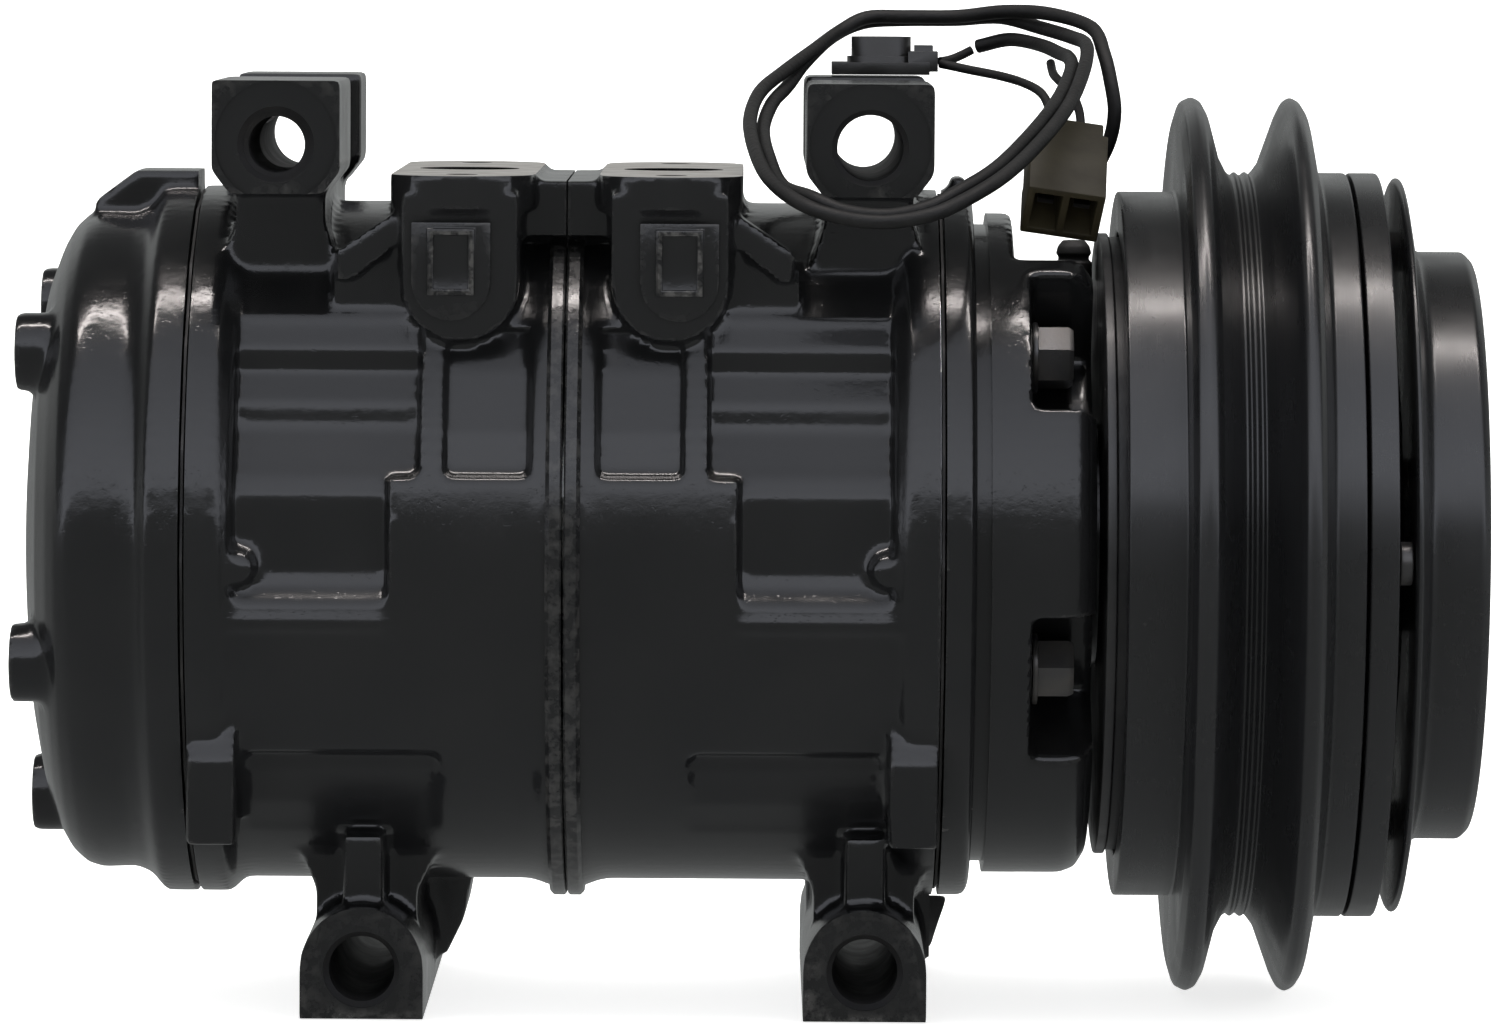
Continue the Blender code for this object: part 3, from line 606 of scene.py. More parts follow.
def top_ear(x):
    section = [(x + 10, TOP_FLAT_Z), (x + 10, 60.4), (x + 7.2, 56.8), (x - 7.2, 56.8), (x - 10, 60.4),
               (x - 10, TOP_FLAT_Z)]
    stem = [(x - 9.5, 44), (x - 7.0, 52), (x - 7.0, 60), (x + 7.0, 60), (x + 7.0, 52), (x + 9.5, 44)]
    return [prism(section, "Y", -EAR_FACE_Y - RAW, -9.0), prism(section, "Y", 25.0, EAR_FACE_Y + RAW),
            prism([(x - 6, 45), (x - 6, 67), (x + 6, 67), (x + 6, 45)], "Y", -10, 26),
            prism(stem, "Y", -31, 36)]


def bottom_ear(x):
    section = [(x + 9.7, FOOT_Z - RAW)] + arc(x, -64.3, 9.7, 0, 180) + [(x - 9.7, FOOT_Z - RAW)]
    stem = [(x - 11.5, -45), (x - 8.0, -54), (x - 8.0, -60), (x + 8.0, -60), (x + 8.0, -54), (x + 12.5, -45)]
    waist = [(x - 3.2, -44), (x - 3.2, -58), (x + 3.2, -58), (x + 3.2, -44)]
    wide = [(x - 9.0, -50), (x - 9.0, -66), (x + 11.5, -68), (x + 14.4, -62), (x + 16.6, -50)]
    return [prism(section, "Y", -EAR_FACE_Y - RAW, EAR_FACE_Y + RAW), prism(stem, "Y", -27, 36),
            prism(waist, "Y", -40, -20), prism(wide, "Y", 4, 34)]


# %% Port pad: a cap with two lobes, on two U-shaped bosses
def port_pad(side):
    x = SEAM_X + side * PORT_OFFSET
    cap = arc(x, LOBE_Y, 11.2, 0, 180) + arc(x, -LOBE_Y, 11.2, 180, 360)
    boss = [(x + 9.3, 57)] + arc(x, 43.3, 9.3, 0, -180) + [(x - 9.3, 57)]
    slope_x = x + side * 8.6
    web = [(slope_x, 53.5), (slope_x + side * 11.5, 45.0), (slope_x + side * 11.5, 38.5), (slope_x, 38.5)]
    strut = [(slope_x, 55.0), (slope_x + side * 10.8, 47.8), (slope_x + side * 10.6, 43.4),
             (slope_x + side * 8.4, 43.4), (slope_x, 50.0)]
    low, high = sorted((SEAM_X - side * 1.0, x))
    return [prism(cap, "Z", PAD_TOP_Z - 5.3, PAD_TOP_Z + RAW), prism(boss, "Y", -44.4, 44.4),
            block((low, -33.0, 50.0), (high, 33.0, 58.8)),
            prism(web, "Y", -37.5, -30.0), prism(web, "Y", 30.0, 37.5),
            prism(strut, "Y", -41.5, -30.0), prism(strut, "Y", 30.0, 41.5)]


def boss_face(side):
    """The flat face on the near boss, with the raised oblong frame that marks the port."""
    x = SEAM_X + side * (PORT_OFFSET + 1.4)
    outline = [(x + 6.2, 52.6)] + arc(x, 43.4, 6.2, 0, -180) + [(x - 6.2, 52.6)]
    face = workpiece("face", prism(outline, "Y", -45.5, -42.0))
    unite(face, block((x - 3.7, -46.3, 41.2), (x + 3.7, -45.0, 51.6)))
    cut(face, block((x - 2.7, -47.0, 42.2), (x + 2.7, -45.5, 50.6)))
    return bevelled(face, 0.25)


# %% [markdown]
# ## Cylinder blocks
#
# Between the flanges the barrel is thinned out to save metal: stepped panels with long flutes beside the
# cylinders, two plain pockets near the seam and one flat pocket above each foot. The outline of the stepped panel
# is a section across the shaft, pushed along it and cut from the barrel.

# %% Panels and pockets
STEPPED_PANEL = [(-70, 44.6), (-31.2, 44.6), (-31.6, 43.4), (-35.6, 40.4), (-38.9, 37.2), (-38.7, 36.6),
                 (-41.2, 32.4), (-40.6, 29.2), (-43.9, 24.3), (-44.4, 20.4), (-48.2, 14.6), (-49.2, 13.2),
                 (-50.4, 10.2), (-51.0, -1.6), (-51.6, -4.0), (-53.9, -6.4), (-70, -6.4)]
SEAM_POCKET = [(-70, 36), (-39.0, 36), (-44.0, 29.5), (-48.9, 20), (-50.8, 13.4), (-70, 13.4)]
FOOT_POCKET = [(-70, -30.3), (-43.0, -30.3), (-42.2, -33), (-38.2, -38.6), (-33.4, -42.8), (-30.2, -46.2),
               (-30.2, -70), (-70, -70)]
LIP = [(-50, -4.6), (-53.6, -6.2), (-54.9, -10.4), (-50, -10.6)]


def both_sides(outline, side, near, far):
    """The same section on the near and the far side of the barrel, between two distances from the seam."""
    low, high = sorted((SEAM_X + side * near, SEAM_X + side * far))
    mirrored = [(-y, z) for y, z in outline]
    return [prism(outline, "X", low, high), prism(mirrored, "X", low, high)]


def barrel(side):
    outline = [(-1.0, 0), (-1.0, 55.7), (2.8, 55.7), (4.6, BARREL_R + 0.4), (6.4, BARREL_R),
               (51.8, BARREL_R), (53.4, FLANGE_R - 0.6), (54.2, FLANGE_R), (59.5, FLANGE_R), (59.5, 0)]
    obj = workpiece("barrel", turned([(SEAM_X + side * s, r) for s, r in outline], 128))
    upper = STEPPED_PANEL[:12] + [(-70, PANEL_STEP_Z)]
    lower = [(-70, 14.0), (-48.6, 14.0)] + STEPPED_PANEL[11:]
    cut(obj, *both_sides(upper, side, 22.3, 51.4), *both_sides(lower, side, 27.2, 51.4),
        *both_sides(SEAM_POCKET, side, 5.2, 18.6), *both_sides(FOOT_POCKET, side, 19.6, 49.8))
    return obj


def lug_blocks(side):
    """Square lugs on the end flange beside the feet."""
    section = [(-48.4, -24.6), (-51.4, -31.4), (-51.0, -44.4), (-36, -44.4), (-40, -24.6)]
    return both_sides(section, side, 50.8, 58.6)


def block_features(side, top_x, bottom_x):
    nub_x = SEAM_X + side * 50.6
    return [*top_ear(top_x), *bottom_ear(bottom_x), *port_pad(side), *lug_blocks(side),
            *both_sides(LIP, side, 27.0, 52.5), ball((nub_x, -50.9, -1.0), 3.3), ball((nub_x, 50.9, -1.0), 3.3)]


# %% Everything that is machined in a block goes in one cutter
def machining(side, top_x, bottom_x, threaded):
    def at(s):
        return SEAM_X + side * s

    inside = [(-6, 0), (-6, 38.6), (16, 38.6), (16, 8.8), (38, 8.8), (38, 12.3), (56, 12.3), (56, 50.2),
              (58.5, 50.2), (58.5, 70), (66, 70), (66, 0)]
    cutter = workpiece("cutter", turned([(at(s), r) for s, r in inside], 96))
    low, high = sorted((at(-4), at(60)))
    for angle in BOLT_ANGLES:
        y, z = around(angle, BOLT_CIRCLE_R)
        unite(cutter, rod((low, y, z), (high, y, z), BOLT_HOLE_R, 24))
        y, z = around(angle + 36, BORE_CIRCLE_R)
        unite(cutter, rod((low, y, z), (high, y, z), BORE_R, 64))
    seam_low, seam_high = sorted((at(-8), at(0.15)))
    unite(cutter, block((seam_low, -70, -70), (seam_high, 70, 70)))
    port_x = at(PORT_OFFSET)
    unite(cutter, block((port_x - 14, -60, PAD_TOP_Z), (port_x + 14, 60, PAD_TOP_Z + 4)),
          rod((port_x, 0, 49.3), (port_x, 0, PAD_TOP_Z + 3), 8.0, 48),
          rod((port_x, -LOBE_Y, 42), (port_x, -LOBE_Y, PAD_TOP_Z + 3), 2.5, 24),
          rod((port_x, LOBE_Y, 42), (port_x, LOBE_Y, PAD_TOP_Z + 3), 2.5, 24))
    for x, z in ((top_x, EAR_HOLE_Z), (bottom_x, -EAR_HOLE_Z)):
        for sign in (-1, 1):
            near, far = sorted((sign * EAR_FACE_Y, sign * (EAR_FACE_Y + 6)))
            unite(cutter, block((x - 13, near, z - 16), (x + 13, far, z + 16)))
        hole = turned(ear_hole_outline(threaded and z > 0), 48)
        bmesh.ops.rotate(hole, matrix=Matrix.Rotation(math.pi / 2, 3, "Z"), verts=hole.verts)
        bmesh.ops.translate(hole, vec=(x, 0, z), verts=hole.verts)
        unite(cutter, hole)
    unite(cutter, block((bottom_x - 14, -50, FOOT_Z - 4), (bottom_x + 14, 50, FOOT_Z)))
    spot = rod((top_x, -EAR_FACE_Y - 2, EAR_HOLE_Z + 0.5), (top_x, -EAR_FACE_Y + 0.5, EAR_HOLE_Z + 0.5), 9.5, 64)
    unite(cutter, spot)
    return cutter


def ear_hole_outline(threaded):
    """The hole's outline along its own axis: countersunk, and threaded near the face where the bolt screws in."""
    half = EAR_FACE_Y + 5
    edge = EAR_FACE_Y
    outline = [(-half, 0), (-half, 6.0), (-edge + 0.6, 6.0), (-edge + 1.5, EAR_HOLE_R)]
    if threaded:
        y = -edge + 2.0
        while y < -12:
            outline += [(y, EAR_HOLE_R), (y + 0.6, EAR_HOLE_R - 0.75), (y + 0.9, EAR_HOLE_R - 0.75)]
            y += 1.5
    outline += [(edge - 1.5, EAR_HOLE_R), (edge - 0.6, 6.0), (half, 6.0), (half, 0)]
    return outline


# %% Cast, machine and set down the two blocks
def cylinder_block(name, side, top_x, bottom_x, threaded):
    obj = barrel(side)
    add_loose(obj, *block_features(side, top_x, bottom_x))
    cast_skin(obj)
    combine(obj, machining(side, top_x, bottom_x, threaded), "DIFFERENCE")
    rib = [(SEAM_X + side * s, r) for s, r in ((0.15, 52.0), (0.15, 56.9), (0.45, 57.2), (2.1, 57.2), (2.7, 56.6),
                                               (2.9, 52.0))]
    set_down(workpiece("rib", turned(rib, 192)), f"{name}_seam_rib", "casing", [black_casting], [])
    combine(obj, boss_face(side), "UNION")
    set_down(obj, name, "casing", [black_casting, machined_face, painted_bore_shade], [name])
    pad_z = AXIS_HEIGHT + PAD_TOP_Z * MM
    holes = [PLACE @ Vector((top_x, 0, EAR_HOLE_Z)), PLACE @ Vector((bottom_x, 0, -EAR_HOLE_Z))]
    for face in obj.data.polygons:
        if face.normal.z > 0.99 and abs(face.center.z - pad_z) < 0.1 * MM:
            face.material_index = 1
        # Faces on the ear-hole walls take material 2, the painted bore shade.
        if abs(face.normal.y) < 0.9 and min(math.hypot(face.center.x - hole.x, face.center.z - hole.z)
                                            for hole in holes) < HOLE_SHADE_R * MM:
            face.material_index = 2
    obj.name = f"{name}_casting"
    return obj


cylinder_block("rear_cylinder_block", -1, -74.1, -60.4, True)
cylinder_block("front_cylinder_block", 1, 18.4, 18.4, False)


# %% [markdown]
# ## Rear head
#
# A domed cover with five bosses for the ends of the through bolts and one rib on top. It is turned, its bosses
# are joined on, and the cast skin blends them.

# %% Rear head
HEAD_FACE = SEAM_X - BLOCK_LENGTH - 1.0
rear_outline = [(HEAD_FACE + 0.8, 0), (HEAD_FACE + 0.8, FLANGE_R), (-93.3, FLANGE_R), (-95.6, 54.0), (-98.2, 52.9),
                (-103.6, 53.1), (-106.0, 52.4), (-108.2, 50.4), (-109.8, 47.6), (-111.9, 42.0), (-113.9, 32.0),
                (-115.1, 20.0), (-115.2, 0.0)]
rear = workpiece("rear", turned(rear_outline, 128))
features = [prism([(HEAD_FACE + 0.8, 50.0), (HEAD_FACE + 0.8, 59.4), (-98.4, 59.4), (-105.0, 54.5), (-105.0, 50.0)],
                  "Y", -8.0, 8.0)]
for angle in BOLT_ANGLES:
    y, z = around(angle, BOLT_CIRCLE_R)
    features.append(rod((-115.8, y, z), (-100.0, y, z), 6.2, 32))
add_loose(rear, *features)
cast_skin(rear)
hollow = [(HEAD_FACE, 0), (HEAD_FACE, 70), (HEAD_FACE + 5, 70), (HEAD_FACE + 5, 0)]
cutter = workpiece("cutter", turned(hollow, 96))
unite(cutter, turned([(HEAD_FACE + 1, 0), (HEAD_FACE + 1, 20), (-103, 20), (-103, 0)], 64),
      turned([(HEAD_FACE + 1, 24), (HEAD_FACE + 1, 37), (-103, 37), (-103, 24)], 64))
for angle in BOLT_ANGLES:
    y, z = around(angle, BOLT_CIRCLE_R)
    unite(cutter, rod((-112, y, z), (HEAD_FACE + 2, y, z), BOLT_HOLE_R, 24))
combine(rear, cutter, "DIFFERENCE")
set_down(rear, "rear_head_casting", "casing", [black_casting], ["rear_head"])

# %% [markdown]
# ## Front head
#
# The front head carries the clutch on its nose. Five notches at its rim give a socket room on the bolt heads;
# the top one is wide, and the connector is parked over it.

# %% Front head
FRONT_FACE = SEAM_X + BLOCK_LENGTH + 1.0
front_outline = [(FRONT_FACE - 0.8, 0), (FRONT_FACE - 0.8, FLANGE_R), (34.2, FLANGE_R), (35.0, 56.2), (35.6, 53.1),
                 (50.0, 53.1), (52.4, 52.2), (54.0, 49.6), (54.0, 0)]
front = workpiece("front", turned(front_outline, 128))
for low, high, back_x in ((27.5, 57.0, 44.0), (62.0, 128.5, 41.6), (-36.0, -9.0, 44.0), (-108.0, -84.0, 44.0),
                          (-180.0, -156.0, 44.0)):
    spread = [low + (high - low) * i / 7 for i in range(8)]
    wedge = [around(a, 36.0) for a in spread] + [around(a, 66.0) for a in reversed(spread)]
    cut(front, prism(wedge, "X", back_x, 60.0))
add_loose(front, block((31.8, -6.0, 50.0), (34.4, 6.0, 59.0)))
cast_skin(front)
face_cut = [(FRONT_FACE - 4, 0), (FRONT_FACE - 4, 70), (FRONT_FACE, 70), (FRONT_FACE, 0)]
cutter = workpiece("cutter", turned(face_cut, 96))
unite(cutter, turned([(35.2, 51.3), (35.2, 70.0), (37.6, 70.0), (37.6, 51.3)], 192),
      turned([(FRONT_FACE - 1, 22), (FRONT_FACE - 1, 34.5), (41, 34.5), (41, 22)], 64),
      turned([(FRONT_FACE - 1, 0), (FRONT_FACE - 1, 12), (36.5, 12), (36.5, 8.8), (62, 8.8), (62, 0)], 64))
for angle in BOLT_ANGLES:
    y, z = around(angle, BOLT_CIRCLE_R)
    unite(cutter, rod((FRONT_FACE - 2, y, z), (50, y, z), BOLT_HOLE_R, 24))
combine(front, cutter, "DIFFERENCE")
nose = softened([(53.6, 10), (53.6, NOSE_R), (93.0, NOSE_R), (93.0, 16.0), (76.0, 16.0), (76.0, 13.8), (70.0, 13.8),
                 (70.0, 8.8), (53.6, 8.8)], 0.5)
unite(front, turned(nose, 96))
set_down(front, "front_head_casting", "casing", [black_casting], ["front_head"])


# %% [markdown]
# ## Bolts and rivets
#
# Five through bolts and three rivets repeat round the shaft. A Geometry Nodes tree places copies of one piece
# on a circle: the step between copies, the first angle and the radius are its inputs.

# %% Geometry Nodes: copies on a circle round the shaft
def make_circle_tree():
    tree = bpy.data.node_groups.new("copies_round_the_shaft", "GeometryNodeTree")
    face = tree.interface
    face.new_socket("Piece", in_out="INPUT", socket_type="NodeSocketGeometry")
    for label, kind in (("Count", "NodeSocketInt"), ("Radius", "NodeSocketFloat"), ("First Angle", "NodeSocketFloat"),
                        ("Step", "NodeSocketFloat"), ("Finish", "NodeSocketMaterial")):
        face.new_socket(label, in_out="INPUT", socket_type=kind)
    face.new_socket("Copies", in_out="OUTPUT", socket_type="NodeSocketGeometry")
    nodes, links = tree.nodes, tree.links
    given, out = nodes.new("NodeGroupInput"), nodes.new("NodeGroupOutput")
    line, place, copies = (nodes.new(kind) for kind in (
        "GeometryNodeMeshLine", "GeometryNodeSetPosition", "GeometryNodeInstanceOnPoints"))
    realize, paint = nodes.new("GeometryNodeRealizeInstances"), nodes.new("GeometryNodeSetMaterial")
    line.inputs["Offset"].default_value = (0, 0, 0)
    links.new(given.outputs["Count"], line.inputs["Count"])
    index = nodes.new("GeometryNodeInputIndex").outputs[0]
    angle = math_node(tree, "ADD", math_node(tree, "MULTIPLY", index, given.outputs["Step"]),
                      given.outputs["First Angle"])
    radians = math_node(tree, "RADIANS", angle)
    y = math_node(tree, "MULTIPLY", math_node(tree, "COSINE", radians),
                  math_node(tree, "MULTIPLY", given.outputs["Radius"], -1.0))
    z = math_node(tree, "MULTIPLY", math_node(tree, "SINE", radians), given.outputs["Radius"])
    spot, turn = nodes.new("ShaderNodeCombineXYZ"), nodes.new("ShaderNodeCombineXYZ")
    links.new(y, spot.inputs["Y"])
    links.new(z, spot.inputs["Z"])
    links.new(math_node(tree, "MULTIPLY", radians, -1.0), turn.inputs["X"])
    links.new(line.outputs["Mesh"], place.inputs["Geometry"])
    links.new(spot.outputs[0], place.inputs["Position"])
    links.new(place.outputs["Geometry"], copies.inputs["Points"])
    links.new(given.outputs["Piece"], copies.inputs["Instance"])
    links.new(turn.outputs[0], copies.inputs["Rotation"])
    links.new(copies.outputs["Instances"], realize.inputs["Geometry"])
    links.new(realize.outputs["Geometry"], paint.inputs["Geometry"])
    links.new(given.outputs["Finish"], paint.inputs["Material"])
    links.new(paint.outputs["Geometry"], out.inputs["Copies"])
    return tree


CIRCLE_TREE = make_circle_tree()


def copies_round(obj, count, radius, first, step, finish):
    change = obj.modifiers.new("copies", "NODES")
    change.node_group = CIRCLE_TREE
    ids = {item.name: item.identifier for item in CIRCLE_TREE.interface.items_tree if item.in_out == "INPUT"}
    for label, value in (("Count", count), ("Radius", float(radius)), ("First Angle", float(first)),
                         ("Step", float(step)), ("Finish", finish)):
        change[ids[label]] = value
    return apply_modifiers(obj)


# %% Through bolts and rivets
shank_outline = [(-108, 0), (-108, 4.0), (44.3, 4.0), (44.3, 5.6), (45.2, 5.6), (45.2, 5.0), (45.4, 0)]
shank = turned(softened(shank_outline, 0.3, 2), 24)
hexagon = turned([(45.1, 0), (45.1, 5.0), (50.0, 5.0), (50.8, 4.5), (50.8, 2.6), (50.2, 2.2), (50.2, 0)], 6)
bolts = copies_round(workpiece("bolts", shank, hexagon), 5, BOLT_CIRCLE_R, 48.0, -72.0, zinc_steel)
set_down(bolts, "through_bolts", "casing", [zinc_steel], [f"through_bolt_{i}" for i in range(1, 6)])

rivet = turned(softened([(100.6, 0), (100.6, 3.4), (102.6, 3.4), (102.6, 0)], 0.3, 3), 24)
rivets = copies_round(workpiece("rivets", rivet), 3, 54.0, 1.0, 120.0, zinc_steel)
set_down(rivets, "plate_rivets", "armature", [zinc_steel], ["rivet_1", "rivet_2", "rivet_3"])

# %% [markdown]
# ## Clutch
#
# Every clutch part is turned steel, so each is an outline spun round the shaft, with small rounded corners
# that catch the light as thin lines. The pulley is also the clutch's rotor: one V groove, a drum before it and
# a drum after it that ends in the friction face.

# %% Clutch
PULLEY_OUTLINE = [(61.0, 30.4), (61.0, 34.2), (88.5, 34.2), (88.5, 50.2), (58.7, 50.2), (58.7, 56.7), (67.9, 56.7),
                  (67.9, 68.6), (68.7, 71.2), (70.4, 72.0), (71.7, 71.4), (72.7, 69.6), (74.5, 62.9), (76.0, 60.0),
                  (76.9, 59.4), (77.5, 60.1), (78.3, 59.3), (79.2, 60.1), (79.8, 59.5), (80.6, 60.4), (81.6, 61.8),
                  (84.4, 69.6), (85.3, 71.4), (86.3, 72.0), (87.5, 71.4), (88.5, 69.8), (90.3, 60.4), (90.8, 59.9),
                  (95.3, 59.9), (95.3, 30.4)]
COIL_OUTLINE = [(55.6, 19.8), (55.6, 50.0), (57.2, 50.0), (57.2, 49.4), (86.0, 49.4), (86.0, 34.8), (57.2, 34.8),
                (57.2, 19.8)]
HUB_OUTLINE = [(102.9, 33.3), (102.9, 58.5), (103.4, 59.2), (104.0, 59.0), (105.6, 50.0), (106.2, 47.9),
               (107.1, 47.3), (114.2, 47.3), (115.6, 45.9), (115.6, 34.6), (114.9, 33.3)]
clutch_parts = [
    ("clutch_pulley", "pulley", PULLEY_OUTLINE, 0.45, black_clutch, "pulley", "clutch_paint", 192),
    ("coil_housing", "casing", COIL_OUTLINE, 0.3, coil_enamel, "field_coil", "clutch_paint", 128),
    ("friction_plate", "armature", [(95.8, 33.0), (95.8, 59.9), (100.3, 59.9), (100.3, 33.0)], 0.35, black_clutch,
     "armature_plate", "clutch_paint", 192),
    ("hub_cover", "armature", HUB_OUTLINE, 0.5, black_clutch, "hub_plate", "clutch_paint", 192),
    ("rubber_damper", "shaft", [(104, 23.0), (104, 32.6), (113.6, 32.6), (114.6, 31.4), (113.8, 27.8),
                                (114.6, 24.2), (113.6, 23.0)], 0.5, black_rubber, "damper_ring", "black_rubber", 96),
    ("hub_bush", "shaft", [(98.5, 6.4), (98.5, 14.0), (104.0, 14.0), (104.0, 22.7), (113.4, 22.7), (114.2, 21.9),
                           (114.2, 17.0), (112.8, 15.5), (112.8, 11.5), (108.0, 10.8), (108.0, 6.4)], 0.4,
     black_clutch, "inner_hub", "bare_steel", 96),
]
for name, body, outline, corner, finish, node, slot, sides in clutch_parts:
    piece = workpiece(name, turned(softened(outline, corner, 3), sides))
    set_down(piece, name, body, [finish], [node], sharp=50)

nut = workpiece("nut", turned([(108.4, 0), (108.4, 8.6), (112.9, 8.6), (113.6, 7.6), (113.6, 0)], 6))
cut(nut, rod((107.0, 0, 0), (112.9, 0, 0), 6.3, 48))
unite(nut, turned([(108.3, 6.35), (108.3, 9.0), (109.2, 9.0), (109.2, 6.35)], 64))
set_down(nut, "shaft_nut", "shaft", [zinc_steel], ["hub_nut"])

# %% [markdown]
# ## Connector, switch and grommet
#
# The connector is a moulded nylon box, open at its mouth for two blades. It lies back over the top notch with
# its mouth to the front. Its own frame has its long side pointing to the mouth, so the shape is drawn upright
# and a matrix leans it.

# %% Connector
down = Vector((-0.05, -0.80, -0.60)).normalized()
across = Vector((0.98, 0.0, -0.17)).normalized()
thick = across.cross(down).normalized()
across = down.cross(thick)
LEAN = Matrix.Translation(Vector((49.9, -8.4, 59.0))) @ Matrix((across, thick, -down)).transposed().to_4x4()
HALF = Vector((6.2, 4.7, 9.3))

housing = workpiece("housing", block(-HALF, HALF))
for low, high in ((-HALF.x + 1.2, -0.6), (0.6, HALF.x - 1.2)):
    cut(housing, block((low, -HALF.y + 1.2, -HALF.z - 1), (high, HALF.y - 1.2, -HALF.z + 9.0)))
cut(housing, block((-7, -5.5, 6.4), (-5.4, 5.5, 10)), block((5.4, -5.5, 6.4), (7, 5.5, 10)),
    block((-7, 3.4, 0.5), (7, 5.5, 10)))
unite(housing, block((-3.9, -3.4, 8.9), (-1.0, 1.4, 9.29)), block((1.0, -3.4, 8.9), (3.9, 1.4, 9.29)))
bevelled(housing, 0.28)
blades = workpiece("blades", block((-4.2, -0.4, -6.4), (-1.6, 0.4, 0.6)), block((1.6, -0.4, -6.4), (4.2, 0.4, 0.6)))
for piece, name, finish, nodes in ((housing, "connector_shell", olive_nylon, ["connector_housing"]),
                                   (blades, "connector_blades", bare_steel, [])):
    piece.data.transform(LEAN)
    set_down(piece, name, "casing", [finish], nodes)

# %% Thermal switch and coil grommet
base_z = 74.8
switch = workpiece("switch", block((13.0, 27.0, base_z), (29.0, 41.5, base_z + 2.0)))
can = arc(20.4, 33.5, 4.2, 90, 270) + arc(21.8, 33.5, 4.2, -90, 90)
rim = arc(20.4, 33.5, 4.9, 90, 270) + arc(21.8, 33.5, 4.9, -90, 90)
unite(switch, prism(rim, "Z", base_z + 1.5, base_z + 3.0), prism(can, "Z", base_z + 1.5, 81.0),
      block((25.5, 29.5, base_z + 0.5), (30.4, 39.0, 78.6)), block((26.6, 30.6, 78.0), (29.6, 33.4, 79.6)),
      block((26.6, 35.2, 78.0), (29.6, 38.0, 79.6)))
bevelled(switch, 0.3)
set_down(switch, "thermal_switch_body", "casing", [black_plastic], ["thermal_switch"])

stopper = turned(softened([(-3.2, 0), (-3.2, 3.0), (-0.4, 3.0), (0.0, 2.5), (0.6, 2.5), (1.0, 2.9), (2.2, 2.6),
                           (3.2, 1.8), (3.2, 0)], 0.25, 2), 32)
bmesh.ops.rotate(stopper, matrix=Matrix.Rotation(-math.pi / 2, 3, "Y"), verts=stopper.verts)
bmesh.ops.translate(stopper, vec=(52.2, 10.0, 45.3), verts=stopper.verts)
grommet = workpiece("grommet", stopper)
set_down(grommet, "lead_grommet", "casing", [black_rubber], ["coil_grommet"])

# %% [markdown]
# ## Finishing the leads
#
# The short tail between the sleeve's end and the switch goes with the sleeved lead.

# %% Leads ride on the casing
for piece, node in ((sleeved_lead, "coil_lead"), (tail_wire, "lead_tail"), (switch_wire, "switch_lead"),
                    (branch_wire, "branch_lead")):
    piece.data.materials.append(black_sleeve)
    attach(piece, "casing")
    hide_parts(node)

# %% [markdown]
# ## The parts inside
#
# The CAD solids of the pistons, shoes, bearings and seals have the right shape already. They only need the
# finish of their metal.

# %% Inner parts
INNER_FINISHES = {"bare_steel": bare_steel, "bare_aluminium": bare_aluminium, "black_rubber": black_rubber,
                  "zinc_steel": zinc_steel, "clutch_paint": black_clutch, "casing_paint": black_casting}
inner_count = 0
for row in frame["record"]["subparts"]:
    node = frame["nodes"][row["node"]]
    if node.hide_render:
        continue
    finish = INNER_FINISHES[row["material_slot"]]
    for slot in node.material_slots:
        slot.material = finish
    inner_count += 1
print(inner_count, "CAD solids keep their shape")

# %% [markdown]
# ## Studio
#
# Gloss black shows its surroundings more than itself. The room is a soft grey wall of light in front and above,
# a narrow bright strip overhead, darkness behind the top, and a pale floor. The world's colour is a ramp over
# the angle from the front, over the top, to the back.

# %% Floor and sky
FLOOR_DEPTH = 6.0
FLOOR_GLOW = 0.78                # keeps the ground under the castings pale
sweep = [(-FLOOR_DEPTH, 0.0), (1.2, 0.0)] + [(1.2 + 0.8 * math.sin(t), 0.8 - 0.8 * math.cos(t))
                                              for t in (0.2, 0.5, 0.8, 1.1, 1.4, math.pi / 2)] + [(2.0, 4.0)]
floor_shape = bmesh.new()
rows = [[floor_shape.verts.new((x, y, z - 0.0002)) for x in (-6, 6)] for y, z in sweep]
for a, b in zip(rows, rows[1:]):
    floor_shape.faces.new((a[0], a[1], b[1], b[0]))
floor = workpiece("floor", floor_shape)
floor.data.shade_smooth()
pale = bpy.data.materials.new("pale_floor")
pale.use_nodes = True
paper = pale.node_tree.nodes["Principled BSDF"].inputs
paper["Base Color"].default_value = (0.86, 0.86, 0.85, 1)
paper["Roughness"].default_value = 0.9
paper["Specular IOR Level"].default_value = 0.1
paper["Emission Color"].default_value = (1.0, 1.0, 1.0, 1)
paper["Emission Strength"].default_value = FLOOR_GLOW
floor.data.materials.append(pale)
floor.visible_glossy = False     # the paint mirrors the dark lower room instead


STUDIO_STRENGTH = 3.4            # what glossy paint mirrors
FILL_STRENGTH = 0.50             # even light for matt surfaces


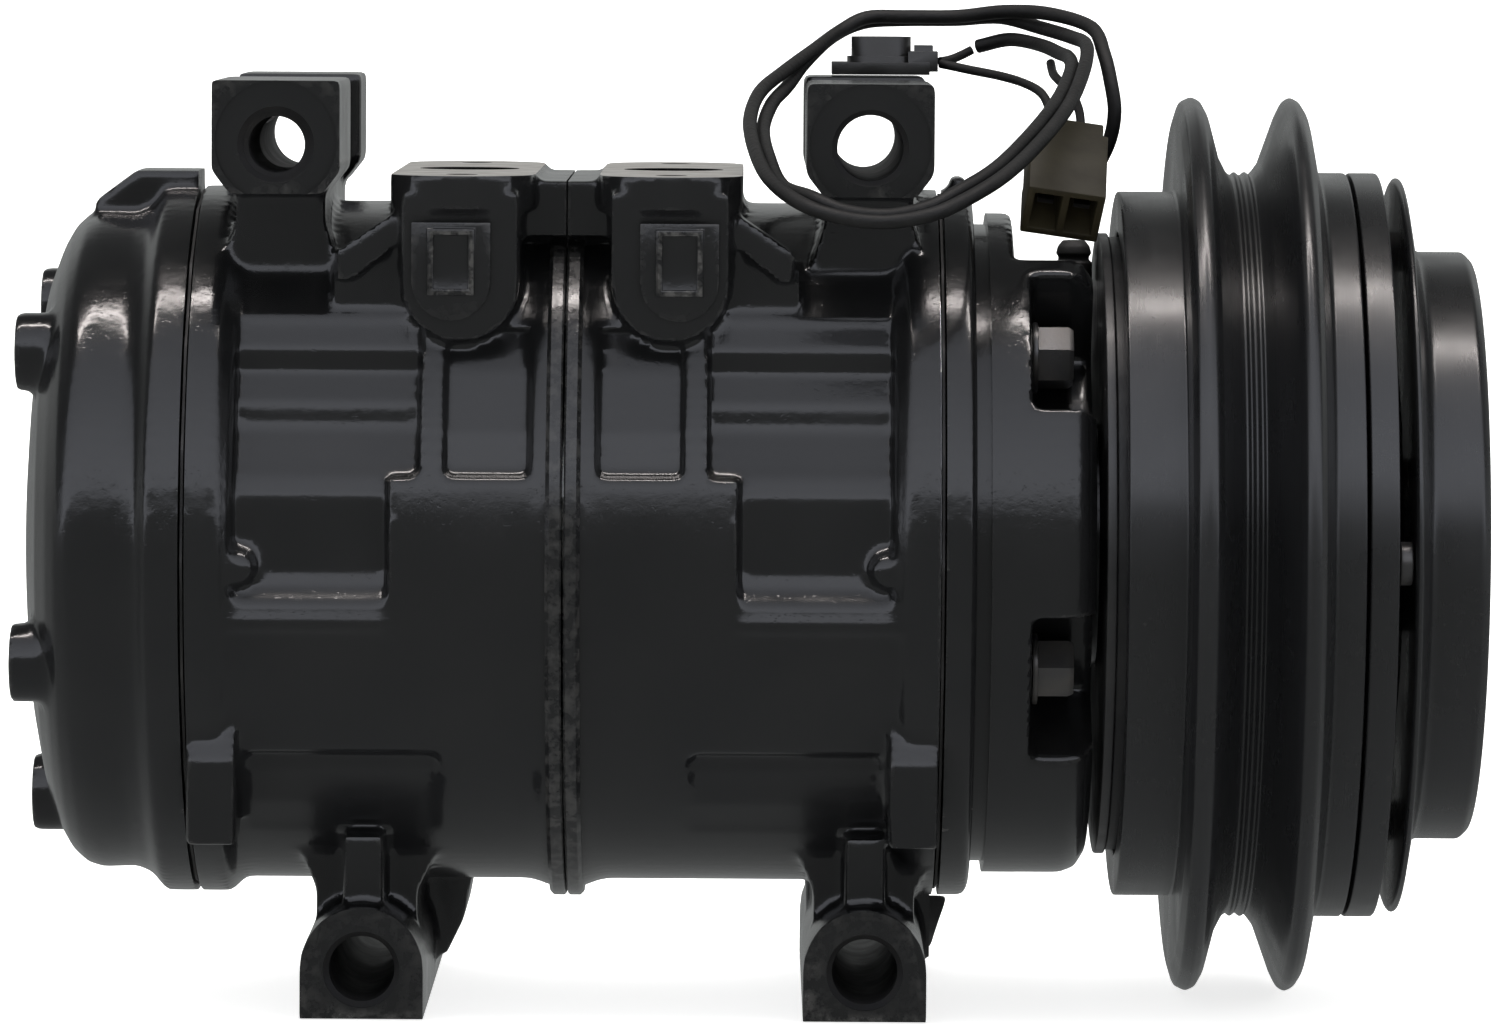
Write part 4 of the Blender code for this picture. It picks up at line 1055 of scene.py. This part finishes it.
def studio_world():
    world = bpy.data.worlds.new("studio")
    scene.world = world
    world.use_nodes = True
    tree = world.node_tree
    way = tree.nodes.new("ShaderNodeTexCoord").outputs["Generated"]
    parts = tree.nodes.new("ShaderNodeSeparateXYZ")
    tree.links.new(way, parts.inputs[0])
    front = math_node(tree, "MULTIPLY", parts.outputs["Y"], -1.0)
    angle = math_node(tree, "DIVIDE", math_node(tree, "ARCTAN2", parts.outputs["Z"], front), math.pi)
    ramp = tree.nodes.new("ShaderNodeValToRGB")
    tree.links.new(angle, ramp.inputs["Fac"])
    stops = [(0.0, 0.095), (0.085, 0.10), (0.110, 0.72), (0.20, 0.64), (0.33, 0.48), (0.42, 0.36), (0.46, 0.04),
             (0.62, 0.03), (0.76, 0.05), (0.86, 0.20), (0.95, 0.14), (1.0, 0.10)]
    ramp.color_ramp.elements[0].position = stops[0][0]
    ramp.color_ramp.elements[1].position = stops[-1][0]
    for position, _ in stops[1:-1]:
        ramp.color_ramp.elements.new(position)
    for element, (_, value) in zip(ramp.color_ramp.elements, stops):
        blue = 1.11 if value > 0.3 else 1.0      # only the wall of light is cool
        element.color = (value * 0.95, value * 0.98, value * 0.97 * blue, 1)
    background = tree.nodes["Background"]
    tree.links.new(ramp.outputs["Color"], background.inputs["Color"])
    background.inputs["Strength"].default_value = STUDIO_STRENGTH
    fill = tree.nodes.new("ShaderNodeBackground")
    fill.inputs["Color"].default_value = (1.0, 1.0, 1.0, 1.0)
    fill.inputs["Strength"].default_value = FILL_STRENGTH
    choice = tree.nodes.new("ShaderNodeMixShader")
    tree.links.new(tree.nodes.new("ShaderNodeLightPath").outputs["Is Glossy Ray"], choice.inputs[0])
    tree.links.new(fill.outputs[0], choice.inputs[1])
    tree.links.new(background.outputs[0], choice.inputs[2])
    tree.links.new(choice.outputs[0], tree.nodes["World Output"].inputs["Surface"])


studio_world()


# %% Lamps
def panel_lamp(name, place, target, size, power, colour):
    data = bpy.data.lights.new(name, "AREA")
    data.shape = "RECTANGLE"
    data.size, data.size_y = size
    data.energy = power
    data.color = colour
    obj = bpy.data.objects.new(name, data)
    aim = (Vector(target) - Vector(place)).to_track_quat("-Z", "Y")
    obj.matrix_world = Matrix.Translation(place) @ aim.to_matrix().to_4x4()
    scene.collection.objects.link(obj)
    return obj


strip = panel_lamp("overhead_strip", (0, -0.09, 1.6), (0, 0, 0), (2.2, 0.07), 30.0, (1.0, 0.93, 0.90))
strip.visible_diffuse = False
wash = panel_lamp("floor_wash", (0, 0.5, 3.0), (0, 0.5, 0), (4.0, 3.0), 75.0, (1.0, 1.0, 1.0))
wash.visible_glossy = False
scene.view_settings.view_transform = "Standard"
scene.view_settings.look = "None"
